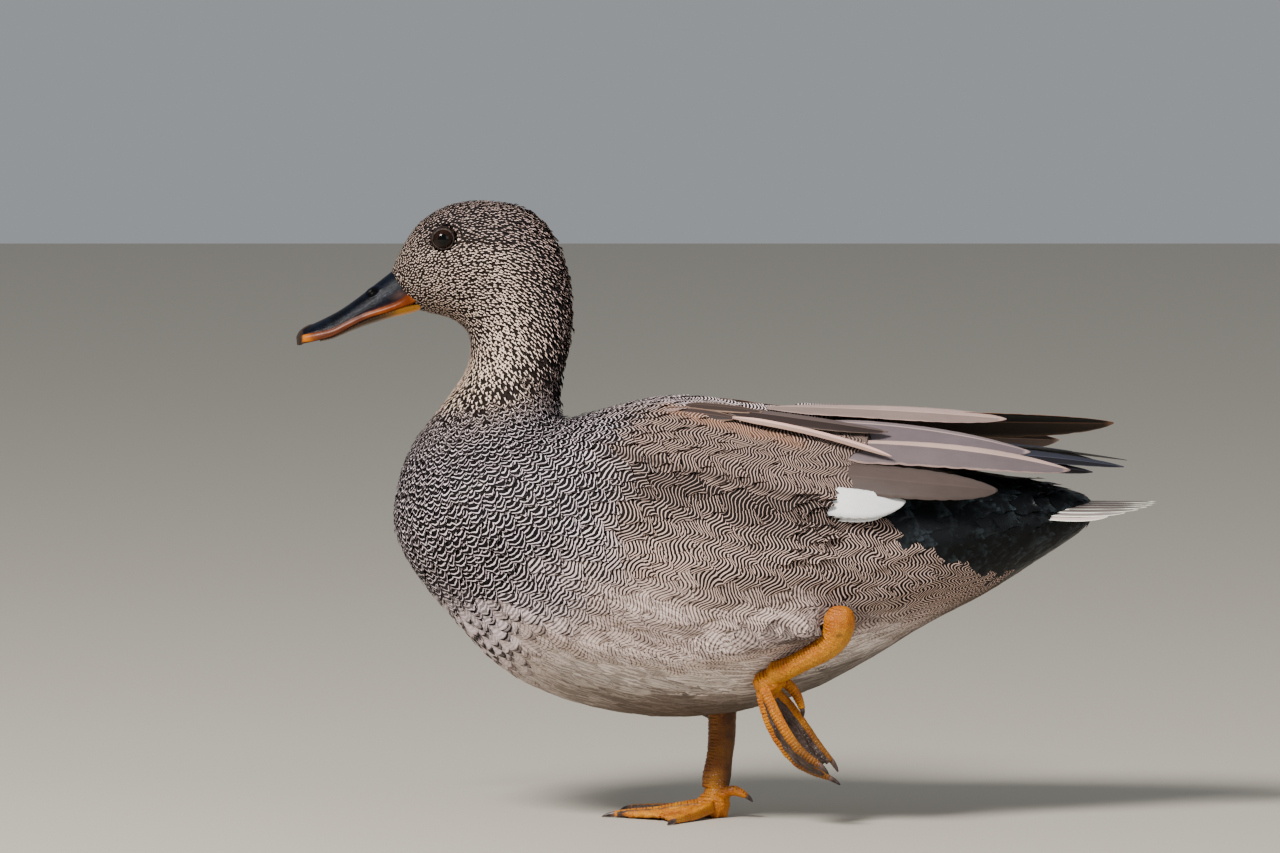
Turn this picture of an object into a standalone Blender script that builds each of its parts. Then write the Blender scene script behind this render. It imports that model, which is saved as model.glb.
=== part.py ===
"""A drake gadwall in mid-step, one solid for each part of the bird. It faces -X with +Z up."""

import math

import bmesh
import bpy
from mathutils import Vector

# Every size below is in millimetres.
MM = 0.001
GAP = 0.3
CLEARANCE = 0.45
LENGTH = 344.8
TIP_X = LENGTH / 2
EYE_RADIUS = 5.2
EYE_CENTRE = (-113.2, 12.3, 232.9)
TAIL_HALF_WIDTH = 27.0
TAIL_ROOT_X = 119.0
FOOT_Y = 3.0
WING_THICKNESS = 4.5
FEATHER_THICKNESS = 1.3
TIP_THICKNESS = 0.7

# The bird's line from the bill's root to the tail: top x, top z, low x, low z, half width, keel.
BODY = [
    (-134.8, 218.4, -124.4, 203.6, 8.5, 0.0),
    (-130.0, 229.2, -118.0, 202.0, 13.5, 0.0),
    (-122.8, 239.6, -111.6, 200.4, 16.5, 0.0),
    (-110.0, 246.8, -106.0, 197.2, 18.5, 0.0),
    (-94.8, 248.0, -102.8, 192.6, 19.0, 0.0),
    (-80.8, 245.2, -103.0, 188.6, 19.0, 0.0),
    (-70.8, 236.0, -103.4, 184.8, 18.8, 0.0),
    (-64.8, 220.8, -104.2, 180.8, 18.5, 0.0),
    (-62.6, 204.0, -106.8, 176.0, 18.5, 0.0),
    (-63.8, 190.0, -110.8, 170.4, 19.8, 0.0),
    (-66.8, 176.0, -118.8, 160.0, 24.5, 0.0),
    (-67.2, 166.5, -127.6, 148.0, 33.5, 0.0),
    (-66.0, 161.4, -133.0, 132.0, 43.0, 0.0),
    (-60.8, 161.4, -134.0, 116.0, 50.0, 0.0),
    (-50.8, 164.6, -125.8, 98.0, 55.0, 0.0),
    (-34.8, 168.8, -106.8, 75.4, 58.5, 0.1),
    (-14.8, 170.2, -77.6, 54.0, 60.0, 0.2),
    (5.2, 166.4, -42.8, 43.4, 60.0, 0.3),
    (25.2, 162.6, -8.8, 42.0, 59.0, 0.4),
    (49.2, 157.0, 25.2, 49.2, 56.0, 0.4),
    (73.2, 149.6, 55.2, 64.0, 50.0, 0.4),
    (93.2, 143.0, 79.2, 79.0, 42.5, 0.3),
    (111.2, 139.4, 103.2, 91.0, 32.5, 0.2),
    (128.2, 136.2, 125.2, 101.6, 22.0, 0.1),
    (141.6, 131.8, 142.0, 113.0, 12.5, 0.0),
    (147.6, 127.8, 147.6, 119.8, 6.5, 0.0),
]
NECK_CUT = 7.0
TRUNK_CUT = 11.5
RUMP_CUT = 20.8

# Bill rows: top x, top z, low x, low z, half width.
UPPER_BILL = [
    (-135.1, 218.2, -126.6, 206.2, 8.6),
    (-141.0, 214.0, -134.5, 203.6, 8.2),
    (-148.0, 208.6, -143.0, 201.0, 7.8),
    (-154.5, 203.9, -150.5, 197.4, 7.9),
    (-161.0, 200.4, -157.0, 193.8, 8.4),
    (-167.0, 197.6, -164.5, 191.8, 8.0),
    (-170.6, 195.6, -169.8, 190.6, 5.6),
    (-172.3, 193.3, -172.0, 190.4, 2.2),
]
LOWER_BILL = [
    (-127.0, 205.2, -125.0, 203.3, 7.2),
    (-135.0, 202.9, -134.8, 200.5, 7.1),
    (-143.0, 200.5, -143.0, 197.9, 6.9),
    (-150.5, 196.9, -150.5, 195.0, 6.7),
    (-157.5, 193.2, -157.5, 192.1, 6.7),
    (-162.6, 191.9, -162.8, 191.0, 5.4),
]

# Patches of the body's surface: station, angle from the back at the upper and lower edge, lift.
WING = [
    (14.2, 42.0, 47.0, 0.6),
    (14.9, 36.0, 55.0, 1.6),
    (16.2, 35.5, 62.0, 2.2),
    (17.8, 36.0, 66.0, 2.6),
    (19.4, 37.5, 68.0, 3.4),
]
SCAPULARS = [
    (14.6, 15.0, 24.0, 0.3),
    (15.2, 9.0, 33.0, 0.6),
    (16.4, 7.0, 34.0, 1.2),
    (17.8, 7.0, 34.5, 2.4),
    (19.4, 9.0, 36.0, 8.4),
]

# Feather edges and tips across a fan: angle of the root on the body, lift, then the end's x, y, z.
TERTIALS_LEFT = [
    (13.0, 7.2, 116.0, -15.0, 149.4),
    (22.0, 7.0, 136.4, -19.0, 140.8),
    (36.0, 5.6, 104.0, -31.0, 140.6),
    (48.0, 4.0, 106.5, -38.0, 134.6),
    (68.0, 2.4, 80.0, -47.5, 131.4),
]
TERTIALS_RIGHT = [
    (10.0, 10.2, 140.0, 11.0, 161.0),
    (19.0, 10.0, 155.0, 14.0, 157.4),
    (32.0, 8.0, 114.0, 25.0, 151.4),
    (46.0, 5.0, 133.0, 27.0, 149.8),
    (68.0, 2.4, 92.0, 45.0, 133.0),
]
# Primaries: root x, y, z, then the end's x, y, z.
PRIMARIES_LEFT = [
    (74.0, -12.0, 149.8, 128.0, -11.0, 142.2),
    (74.0, -8.0, 150.6, 159.0, -4.4, 141.0),
    (74.0, -1.6, 151.0, 126.0, -0.8, 144.2),
]
PRIMARIES_RIGHT = [
    (74.0, 1.6, 152.6, 128.0, 1.2, 148.0),
    (74.0, 7.0, 152.4, 160.6, 5.0, 142.8),
    (74.0, 14.0, 151.0, 126.0, 12.5, 143.6),
]

# Tubes: x, y, z, fore-and-aft radius, sideways radius.
THIGH_LEFT = [
    (-30.0, -36.0, 81.0, 4.0, 4.0),
    (-25.0, -37.0, 81.0, 11.5, 9.0),
    (-9.0, -41.0, 81.0, 15.5, 13.0),
    (11.0, -46.0, 82.0, 12.0, 11.0),
    (28.0, -50.5, 83.4, 7.8, 7.4),
    (39.0, -53.2, 84.0, 6.2, 5.6),
]
THIGH_RIGHT = [
    (-30.0, 30.0, 92.0, 5.0, 4.0),
    (-27.0, 30.0, 86.0, 14.0, 10.0),
    (-20.0, 28.0, 74.0, 18.0, 13.0),
    (-11.0, 21.5, 58.0, 14.0, 11.0),
    (-4.0, 11.4, 46.0, 8.4, 7.4),
    (-2.0, 7.6, 41.0, 5.6, 4.8),
]
TARSUS_LEFT = [
    (45.4, -54.8, 89.4, 1.8, 1.6),
    (45.2, -54.7, 88.0, 4.6, 4.0),
    (44.4, -54.3, 84.0, 6.4, 5.4),
    (43.2, -53.2, 77.8, 6.0, 5.0),
    (38.6, -51.0, 72.4, 5.2, 4.2),
    (31.4, -47.5, 68.0, 4.5, 3.4),
    (25.0, -44.0, 64.4, 4.4, 3.2),
    (18.8, -40.4, 61.4, 4.9, 3.8),
]
TARSUS_RIGHT = [
    (-1.9, 8.0, 43.5, 5.2, 4.0),
    (-2.0, 6.8, 34.0, 4.4, 3.2),
    (-2.6, 5.6, 26.0, 4.1, 3.0),
    (-3.8, 4.4, 18.0, 4.9, 3.4),
    (-4.6, 3.6, 11.6, 5.3, 4.0),
]
# Toes: x, y, z and radius. The planted foot's y is measured from FOOT_Y.
PLANTED_TOES = {
    "inner": [
        (-5.4, -5.0, 4.6, 2.7),
        (-9.6, -11.4, 3.2, 2.4),
        (-13.8, -18.0, 2.0, 2.1),
        (-17.8, -24.4, 1.6, 1.8),
        (-21.4, -30.4, 1.2, 1.4),
    ],
    "middle": [
        (-8.0, -0.6, 5.2, 2.9),
        (-18.0, -0.8, 3.9, 2.6),
        (-28.0, -0.9, 2.2, 2.2),
        (-38.0, -0.8, 1.7, 1.9),
        (-45.2, -0.4, 1.2, 1.4),
    ],
    "outer": [
        (-6.6, 4.2, 4.6, 2.7),
        (-14.6, 10.4, 3.2, 2.4),
        (-22.8, 16.4, 2.0, 2.1),
        (-31.0, 22.0, 1.6, 1.8),
        (-38.4, 27.0, 1.2, 1.4),
    ],
}
RAISED_TOES = {
    "inner": [
        (17.6, -33.4, 55.2, 2.4),
        (23.4, -30.4, 49.6, 2.2),
        (29.4, -28.6, 41.4, 2.0),
        (35.6, -28.0, 32.6, 1.8),
        (41.6, -28.0, 25.4, 1.4),
    ],
    "middle": [
        (13.6, -37.4, 54.0, 2.6),
        (15.4, -37.4, 45.4, 2.4),
        (19.8, -37.4, 35.4, 2.2),
        (28.6, -37.0, 24.6, 1.9),
        (40.6, -36.6, 19.4, 1.4),
    ],
    "outer": [
        (14.8, -41.8, 55.0, 2.4),
        (18.4, -44.2, 47.4, 2.2),
        (22.8, -45.8, 39.2, 2.1),
        (28.8, -46.4, 31.2, 1.8),
        (36.6, -46.4, 25.4, 1.4),
    ],
}
PLANTED_HIND = [
    (-3.6, -1.0, 7.4, 1.9),
    (0.4, -3.0, 10.4, 2.1),
    (4.4, -4.4, 10.6, 2.0),
    (8.0, -5.2, 8.8, 1.3),
]
RAISED_HIND = [
    (17.6, -36.6, 58.0, 2.0),
    (23.4, -34.4, 57.0, 2.3),
    (27.6, -33.6, 52.2, 2.1),
    (29.8, -33.2, 46.6, 1.4),
]
KNUCKLE_RADIUS = (6.6, 5.6, 5.5)
HEEL_PAD = 2.6
CLAW_LENGTH = 5.2


def clear_scene():
    for old in list(bpy.data.objects):
        bpy.data.objects.remove(old)


def make_collection(name):
    collection = bpy.data.collections.new(name)
    bpy.context.scene.collection.children.link(collection)
    return collection


def make_material(name, colour, roughness):
    material = bpy.data.materials.new(name)
    material.use_nodes = True
    shader = material.node_tree.nodes["Principled BSDF"]
    shader.inputs["Base Color"].default_value = (*colour, 1.0)
    shader.inputs["Roughness"].default_value = roughness
    return material


def row_at(rows, place):
    """The row at a fractional place along a table, on a smooth curve through its rows."""
    last = len(rows) - 1
    start = min(int(place), last - 1)
    t = place - start
    before = rows[max(start - 1, 0)]
    after = rows[min(start + 2, last)]
    values = []
    for p0, p1, p2, p3 in zip(before, rows[start], rows[start + 1], after):
        bend = 2 * p0 - 5 * p1 + 4 * p2 - p3
        twist = 3 * p1 - p0 - 3 * p2 + p3
        values.append(p1 + 0.5 * t * (p2 - p0 + t * (bend + t * twist)))
    return values


def steps(first, last, most):
    """Places from first to last, evenly apart and no further apart than most."""
    count = max(1, math.ceil((last - first) / most - 1e-6))
    return [first + (last - first) * i / count for i in range(count + 1)]


def make_object(name, points, faces, material, helper=False):
    mesh = bpy.data.meshes.new(name)
    mesh.from_pydata([tuple(MM * value for value in point) for point in points], [], faces)
    shape = bmesh.new()
    shape.from_mesh(mesh)
    bmesh.ops.recalc_face_normals(shape, faces=shape.faces)
    for face in shape.faces:
        face.smooth = True
    shape.to_mesh(mesh)
    shape.free()
    mesh.materials.append(material)
    made = bpy.data.objects.new(name, mesh)
    if helper:
        helpers.objects.link(made)
        made.display_type = "WIRE"
        made.hide_render = True
    else:
        bird.objects.link(made)
    return made


def solid(name, rings, material, helper=False):
    """A closed tube through rings of equal count, with a fan of faces at each end."""
    count = len(rings[0])
    points = [point for ring in rings for point in ring]
    faces = []
    for i in range(len(rings) - 1):
        for j in range(count):
            k = (j + 1) % count
            near = i * count
            far = near + count
            faces.append((near + j, near + k, far + k, far + j))
    for base, ring in ((0, rings[0]), (len(points) - count, rings[-1])):
        points.append(sum(ring, Vector()) / count)
        for j in range(count):
            faces.append((base + j, base + (j + 1) % count, len(points) - 1))
    return make_object(name, points, faces, material, helper)


def slab(name, upper, lower, material, helper=False):
    """A closed sheet between two grids of the same size."""
    long = len(upper)
    wide = len(upper[0])
    points = [point for grid in (upper, lower) for row in grid for point in row]
    other = long * wide
    faces = []
    for i in range(long - 1):
        for j in range(wide - 1):
            a = i * wide + j
            quad = (a, a + 1, a + wide + 1, a + wide)
            faces.append(quad)
            faces.append(tuple(other + corner for corner in reversed(quad)))
    for i in range(long - 1):
        for a in (i * wide, i * wide + wide - 1):
            faces.append((a, a + wide, other + a + wide, other + a))
    for j in range(wide - 1):
        for a in (j, (long - 1) * wide + j):
            faces.append((a, a + 1, other + a + 1, other + a))
    return make_object(name, points, faces, material, helper)


def thickened(grid, thickness):
    """The grid moved inward by thickness(along, across), against its outward normal."""
    long = len(grid)
    wide = len(grid[0])
    lower = []
    for i in range(long):
        row = []
        for j in range(wide):
            along = grid[min(i + 1, long - 1)][j] - grid[max(i - 1, 0)][j]
            across = grid[i][min(j + 1, wide - 1)] - grid[i][max(j - 1, 0)]
            inward = along.cross(across).normalized()
            depth = thickness(i / (long - 1), j / (wide - 1))
            row.append(grid[i][j] + inward * depth)
        lower.append(row)
    return lower


def body_point(place, angle, lift=0.0):
    """A point on the body: the angle runs from the back down its left side, in degrees."""
    top_x, top_z, low_x, low_z, half_width, keel = row_at(BODY, place)
    sine = math.sin(math.radians(angle))
    cosine = math.cos(math.radians(angle))
    middle = Vector((top_x + low_x, 0, top_z + low_z)) / 2
    rise = Vector((top_x - low_x, 0, top_z - low_z)) / 2
    power = 1 + keel if cosine < 0 else 1
    side = math.copysign(abs(sine) ** power, sine)
    outward = Vector((0, -sine / half_width, 0)) + rise * cosine / rise.length_squared
    point = middle + rise * cosine + Vector((0, -half_width * side, 0))
    return point + outward.normalized() * lift


def body_ring(place, shift=0.0, count=20):
    ring = [body_point(place, 360 * j / count) for j in range(count)]
    normal = (ring[0] - ring[count // 2]).cross(ring[count // 4] - ring[0]).normalized()
    return [point + normal * shift for point in ring]


def body_part(name, first, last, material):
    rings = [body_ring(place) for place in steps(first, last, 0.5)]
    rings[0] = body_ring(first, GAP / 2)
    rings[-1] = body_ring(last, -GAP / 2)
    return solid(name, rings, material)


def bill_part(name, rows, ridge, material):
    """A mandible: a dome over a flat side. The ridge is 1 for the upper and -1 for the lower."""
    rings = []
    for place in steps(0, len(rows) - 1, 0.5):
        top_x, top_z, low_x, low_z, half_width = row_at(rows, place)
        top = Vector((top_x, 0, top_z))
        low = Vector((low_x, 0, low_z))
        ring = []
        for j in range(11):
            turn = math.pi * (j / 10 - 0.5)
            rise = max(math.cos(turn), 0.0) ** 0.8
            share = 1 - rise if ridge > 0 else rise
            ring.append(top.lerp(low, share) + Vector((0, half_width * math.sin(turn), 0)))
        flat = low if ridge > 0 else top
        for across in (0.6, 0.2, -0.2, -0.6):
            ring.append(flat + Vector((0, half_width * across, 0)))
        rings.append(ring)
    return solid(name, rings, material)


def patch(name, rows, side, extra_lift, material):
    """A raised pad on the body's side. extra_lift raises its rear end further."""
    grid = []
    for place in steps(0, len(rows) - 1, 0.5):
        station, high, low, lift = row_at(rows, place)
        rear = (place / (len(rows) - 1)) ** 2
        row = []
        for k in range(7):
            across = k / 6
            angle = side * (high + (low - high) * across)
            bulge = lift * (0.6 + 0.4 * math.sin(math.pi * across))
            row.append(body_point(station, angle, bulge + extra_lift * rear * (1 - across)))
        grid.append(row)

    def thickness(along, across):
        return side * (1.6 + (WING_THICKNESS - 1.6) * math.sin(math.pi * across))

    return slab(name, grid, thickened(grid, thickness), material)


def feather_fan(name, rows, bow, side, thickness, material, lengths=5):
    """Overlapping feathers as one sheet. Its rows are edges, tips and the notches between."""
    grid = []
    for i in range(lengths + 1):
        s = i / lengths
        row = []
        for place in steps(0, len(rows) - 1, 0.5):
            before = rows[int(place)]
            after = rows[min(int(place) + 1, len(rows) - 1)]
            share = place - int(place)
            root = before[0].lerp(after[0], share)
            end = before[1].lerp(after[1], share)
            if share:
                end += (end - root) * 0.045
            row.append(root.lerp(end, s) + Vector((0, 0, bow * 4 * s * (1 - s))))
        grid.append(row)

    def depth(along, across):
        return side * (thickness + (TIP_THICKNESS - thickness) * along)

    return slab(name, grid, thickened(grid, depth), material)


def rooted_rows(table, side):
    """Rows of a wing's feather fan, rooted on the body just behind the wing's pad."""
    return [
        (body_point(19.46, side * angle, lift), Vector((x, y, z)))
        for angle, lift, x, y, z in table
    ]


def free_rows(table):
    return [(Vector(row[:3]), Vector(row[3:])) for row in table]


def tail_rows():
    rows = []
    for k in range(15):
        across = k / 7 - 1
        arch = across * across
        notch = 0 if k % 2 else 4.5
        end_x = TIP_X - 19.5 * arch - notch + (4.5 if k in (0, 14) else 0)
        root = Vector((TAIL_ROOT_X, -22.5 * across, 126.4 - 5.8 * arch))
        end = Vector((end_x, -TAIL_HALF_WIDTH * across, 127.2 - 3.4 * arch))
        rows.append((root, end))
    return list(reversed(rows))


def tube(name, rows, material, count=12, helper=False, most=0.5):
    """A limb: its rows give centre, fore-and-aft radius and sideways radius."""
    centres = [row_at(rows, place) for place in steps(0, len(rows) - 1, most)]
    rings = []
    for i, (x, y, z, deep, wide) in enumerate(centres):
        ahead = Vector(centres[min(i + 1, len(centres) - 1)][:3])
        behind = Vector(centres[max(i - 1, 0)][:3])
        run = (ahead - behind).normalized()
        sideways = (Vector((0, 1, 0)) - run * run.y).normalized()
        forward = run.cross(sideways)
        ring = []
        for j in range(count):
            turn = 2 * math.pi * j / count
            offset = forward * deep * math.cos(turn) + sideways * wide * math.sin(turn)
            ring.append(Vector((x, y, z)) + offset)
        rings.append(ring)
    return solid(name, rings, material, helper)


def ball(name, centre, radii, material, across=16, helper=False):
    rings = []
    for i in range(1, across // 2):
        polar = 2 * math.pi * i / across
        ring = []
        for j in range(across):
            turn = 2 * math.pi * j / across
            spread = math.sin(polar)
            unit = Vector((spread * math.cos(turn), math.cos(polar), spread * math.sin(turn)))
            ring.append(Vector([c + r * u for c, r, u in zip(centre, radii, unit)]))
        rings.append(ring)
    first = solid(name, rings, material, helper)
    poles = first.data.vertices[-2:]
    for pole, sign in zip(poles, (1, -1)):
        pole.co = [MM * c for c in (centre[0], centre[1] + sign * radii[1], centre[2])]
    return first


def claw(name, toe, material):
    """A short curved claw just beyond the end of a toe."""
    before = Vector(toe[-2][:3])
    end = Vector(toe[-1][:3])
    run = (end - before).normalized()
    base = toe[-1][3] * 0.62
    length = CLAW_LENGTH if len(toe) > 4 else 0.6 * CLAW_LENGTH
    rows = []
    for t, taper in ((0.0, 1.0), (0.35, 0.85), (0.7, 0.6), (1.0, 0.25)):
        x, y, z = end + run * (GAP + length * t)
        radius = base * taper
        rows.append((x, y, max(z - 0.6 * t * t, radius + 0.1), radius, radius))
    return tube(name, rows, material, count=6, most=1)


def webbed_foot(name, toes, material, ground=None):
    """Three toes joined by webs. With a ground, nothing goes below that height."""
    paths = [toes["inner"], toes["middle"], toes["outer"]]
    places = steps(0, 4, 0.5)
    beads = [[row_at(path, place) for path in paths] for place in places]
    upper = []
    lower = []
    for i, row in enumerate(beads):
        centres = [Vector(bead[:3]) for bead in row]
        ahead = Vector(beads[min(i + 1, len(beads) - 1)][1][:3])
        run = (ahead - Vector(beads[max(i - 1, 0)][1][:3])).normalized()
        sides = []
        for sign in (1, -1):
            line = []
            for k, centre in enumerate(centres):
                across = centres[min(k + 1, 2)] - centres[max(k - 1, 0)]
                normal = across.cross(run).normalized()
                across = run.cross(normal)
                for angle in (135, 90, 45):
                    turn = math.radians(angle)
                    offset = across * math.cos(turn) + normal * sign * math.sin(turn)
                    line.append(centre + offset * row[k][3])
                if k < 2:
                    fraction = i / (len(beads) - 1)
                    middle = (centre + centres[k + 1]) / 2 - run * 7.0 * fraction**2
                    web = 0.9 * (1 - fraction) + 0.45
                    line.append(middle + normal * sign * web)
            sides.append(line)
        upper.append(sides[0])
        lower.append(sides[1])
    if ground is not None:
        for grid in (upper, lower):
            for line in grid:
                for point in line:
                    point.z = max(point.z, ground)
    return slab(name, upper, lower, material)


def apply_boolean(target, cutter, operation):
    modifier = target.modifiers.new(cutter.name, "BOOLEAN")
    modifier.operation = operation
    modifier.solver = "EXACT"
    modifier.object = cutter


def join(target, others):
    for other in others:
        apply_boolean(target, other, "UNION")


def clear_of(target, neighbours):
    """Cuts each neighbour from the target, with the clearance all round it."""
    for neighbour in neighbours:
        grown = neighbour.copy()
        grown.data = neighbour.data.copy()
        grown.name = "room_for_" + neighbour.name
        helpers.objects.link(grown)
        grown.display_type = "WIRE"
        grown.hide_render = True
        swell = grown.modifiers.new("Clearance", "DISPLACE")
        swell.strength = CLEARANCE * MM
        swell.mid_level = 0.0
        apply_boolean(target, grown, "DIFFERENCE")


clear_scene()
bird = make_collection("drake_gadwall")
helpers = make_collection("helpers")

speckled = make_material("speckled_brown_feathers", (0.24, 0.19, 0.15), 0.8)
barred = make_material("barred_grey_feathers", (0.30, 0.28, 0.26), 0.8)
neck_down = make_material("fine_barred_feathers", (0.20, 0.16, 0.13), 0.8)
black_coverts = make_material("black_tail_coverts", (0.012, 0.014, 0.014), 0.6)
buff_scapulars = make_material("buff_scapulars", (0.30, 0.22, 0.16), 0.75)
grey_wing = make_material("grey_wing_feathers", (0.36, 0.31, 0.28), 0.7)
silver_tertials = make_material("silver_tertials", (0.40, 0.35, 0.33), 0.65)
slate_primaries = make_material("slate_primaries", (0.10, 0.11, 0.14), 0.6)
pale_tail = make_material("pale_tail_feathers", (0.45, 0.40, 0.37), 0.7)
slate_horn = make_material("slate_bill", (0.035, 0.04, 0.055), 0.35)
orange_horn = make_material("orange_bill_edge", (0.45, 0.16, 0.03), 0.35)
orange_skin = make_material("orange_leg_skin", (0.85, 0.33, 0.02), 0.45)
dark_claw = make_material("dark_claw", (0.05, 0.035, 0.03), 0.35)
dark_eye = make_material("dark_brown_eye", (0.02, 0.011, 0.008), 0.08)

# Body
head = body_part("head", 0, NECK_CUT, speckled)
neck = body_part("neck", NECK_CUT, TRUNK_CUT, neck_down)
trunk = body_part("trunk", TRUNK_CUT, RUMP_CUT, barred)
rump = body_part("rump", RUMP_CUT, len(BODY) - 1, black_coverts)

# Bill
bill_upper = bill_part("bill_upper", UPPER_BILL, 1, slate_horn)
bill_lower = bill_part("bill_lower", LOWER_BILL, -1, orange_horn)

# Eyes
eyes = []
for label, side in (("left", -1), ("right", 1)):
    centre = (EYE_CENTRE[0], side * EYE_CENTRE[1], EYE_CENTRE[2])
    eyes.append(ball("eye_" + label, centre, [EYE_RADIUS] * 3, dark_eye, 14))
clear_of(head, eyes)

# Folded wings: the pad on the body, the scapulars over it and the long feathers behind
wing_parts = []
for label, side, rise in (("left", 1, 0.0), ("right", -1, 5.5)):
    wing_parts.append(patch("wing_" + label, WING, side, rise, grey_wing))
    wing_parts.append(patch("scapulars_" + label, SCAPULARS, side, rise, buff_scapulars))
tertial_tables = (("left", TERTIALS_LEFT, 1, 0.6), ("right", TERTIALS_RIGHT, -1, 1.0))
for label, table, side, bow in tertial_tables:
    name = "tertials_" + label
    rows = rooted_rows(table, side)
    wing_parts.append(feather_fan(name, rows, bow, side, FEATHER_THICKNESS, silver_tertials))
for label, table, side in (("left", PRIMARIES_LEFT, -1), ("right", PRIMARIES_RIGHT, -1)):
    name = "primaries_" + label
    wing_parts.append(feather_fan(name, free_rows(table), 1.0, side, 1.4, slate_primaries))

# Tail, spread from inside the coverts
tail = feather_fan("tail", tail_rows(), 0.0, -1, 1.9, pale_tail, lengths=2)
clear_of(tail, [rump])

# Legs
thigh_left = tube("thigh_left", THIGH_LEFT, barred)
thigh_right = tube("thigh_right", THIGH_RIGHT, barred)
tarsus_left = tube("tarsus_left", TARSUS_LEFT, orange_skin)
tarsus_right = tube("tarsus_right", TARSUS_RIGHT, orange_skin)
clear_of(thigh_left, [tarsus_left])
clear_of(thigh_right, [tarsus_right])

planted = {
    toe: [(x, FOOT_Y + y, z, r) for x, y, z, r in rows] for toe, rows in PLANTED_TOES.items()
}
planted["hind"] = [(x, FOOT_Y + y, z, r) for x, y, z, r in PLANTED_HIND]
raised = dict(RAISED_TOES, hind=RAISED_HIND)
for label, toes, ground, heel in (
    ("right", planted, 0.0, (-5.0, FOOT_Y + 0.2, 5.2)),
    ("left", raised, None, (16.2, -37.6, 57.6)),
):
    foot = webbed_foot("foot_" + label, toes, orange_skin, ground)
    knuckle = ball("knuckle_" + label, heel, KNUCKLE_RADIUS, orange_skin, 10, helper=True)
    if ground is not None:
        for vertex in knuckle.data.vertices:
            if vertex.co.z < ground + HEEL_PAD * MM:
                vertex.co.z = ground
    hind_rows = [(x, y, z, r, r) for x, y, z, r in toes["hind"]]
    hind = tube("hind_toe_" + label, hind_rows, orange_skin, count=8, helper=True)
    join(foot, [knuckle, hind])
    for toe, rows in toes.items():
        clear_of(claw(f"claw_{label}_{toe}", rows, dark_claw), [foot])
    clear_of(tarsus_left if label == "left" else tarsus_right, [foot, knuckle])

clear_of(trunk, [thigh_left, thigh_right, tarsus_left, tarsus_right, *wing_parts])
clear_of(rump, wing_parts[4:])
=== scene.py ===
import math

import bpy
import numpy as np
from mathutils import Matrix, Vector
from mathutils.bvhtree import BVHTree
from mathutils.kdtree import KDTree


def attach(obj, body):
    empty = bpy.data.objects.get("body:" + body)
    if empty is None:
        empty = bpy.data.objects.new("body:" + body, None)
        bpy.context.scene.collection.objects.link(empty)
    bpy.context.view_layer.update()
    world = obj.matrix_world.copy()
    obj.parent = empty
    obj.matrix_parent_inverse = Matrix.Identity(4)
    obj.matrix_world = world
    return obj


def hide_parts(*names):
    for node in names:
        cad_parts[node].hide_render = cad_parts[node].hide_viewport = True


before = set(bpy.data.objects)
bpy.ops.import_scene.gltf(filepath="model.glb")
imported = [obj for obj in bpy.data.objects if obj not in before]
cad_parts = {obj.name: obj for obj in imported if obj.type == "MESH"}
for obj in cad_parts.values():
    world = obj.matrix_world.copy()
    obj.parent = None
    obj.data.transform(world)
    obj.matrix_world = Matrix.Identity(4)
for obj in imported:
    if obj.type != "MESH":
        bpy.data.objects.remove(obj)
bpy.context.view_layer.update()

# Skin. One closed hide under the whole plumage, from the face to the tail's root and down both
# thighs. It is fused from the bird's flesh solids, so no seam shows, and then drawn in by the
# coat's depth, so that the feathers fill the bird's outline.
MM = 0.001
FLESH = ["head", "neck", "trunk", "rump", "thigh_left", "thigh_right"]
FOLDED_WING = ["wing_left", "wing_right", "scapulars_left", "scapulars_right"]

# Planes across the bird, from the bill's root over the head and down the neck to the tail, each
# given by its top and its low point: x, z, x, z.
STATIONS = np.array([
    (-134.8, 218.4, -124.4, 203.6),
    (-122.8, 239.6, -111.6, 200.4),
    (-94.8, 248.0, -102.8, 192.6),
    (-70.8, 236.0, -103.4, 184.8),
    (-62.6, 204.0, -106.8, 176.0),
    (-66.8, 176.0, -118.8, 160.0),
    (-66.0, 161.4, -133.0, 132.0),
    (-50.8, 164.6, -125.8, 98.0),
    (-20.0, 170.0, -84.0, 60.0),
    (15.0, 165.0, -20.0, 43.0),
    (58.0, 153.0, 38.0, 54.0),
    (93.2, 143.0, 82.0, 79.0),
    (111.2, 139.4, 105.0, 91.0),
    (128.2, 136.2, 126.0, 101.6),
    (147.6, 127.8, 147.6, 119.8),
])
TOPS = STATIONS[:, 0:2]
LOWS = STATIONS[:, 2:4]
MIDDLES = (TOPS + LOWS) / 2
UPS = (TOPS - LOWS) / np.linalg.norm(TOPS - LOWS, axis=1)[:, None]
ONWARDS = np.stack([UPS[:, 1], -UPS[:, 0]], 1)
REACH = np.concatenate([[0], np.cumsum(np.linalg.norm(np.diff(MIDDLES, axis=0), axis=1))])
BILL_ROOT = -128
FAR = 99.0


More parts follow.
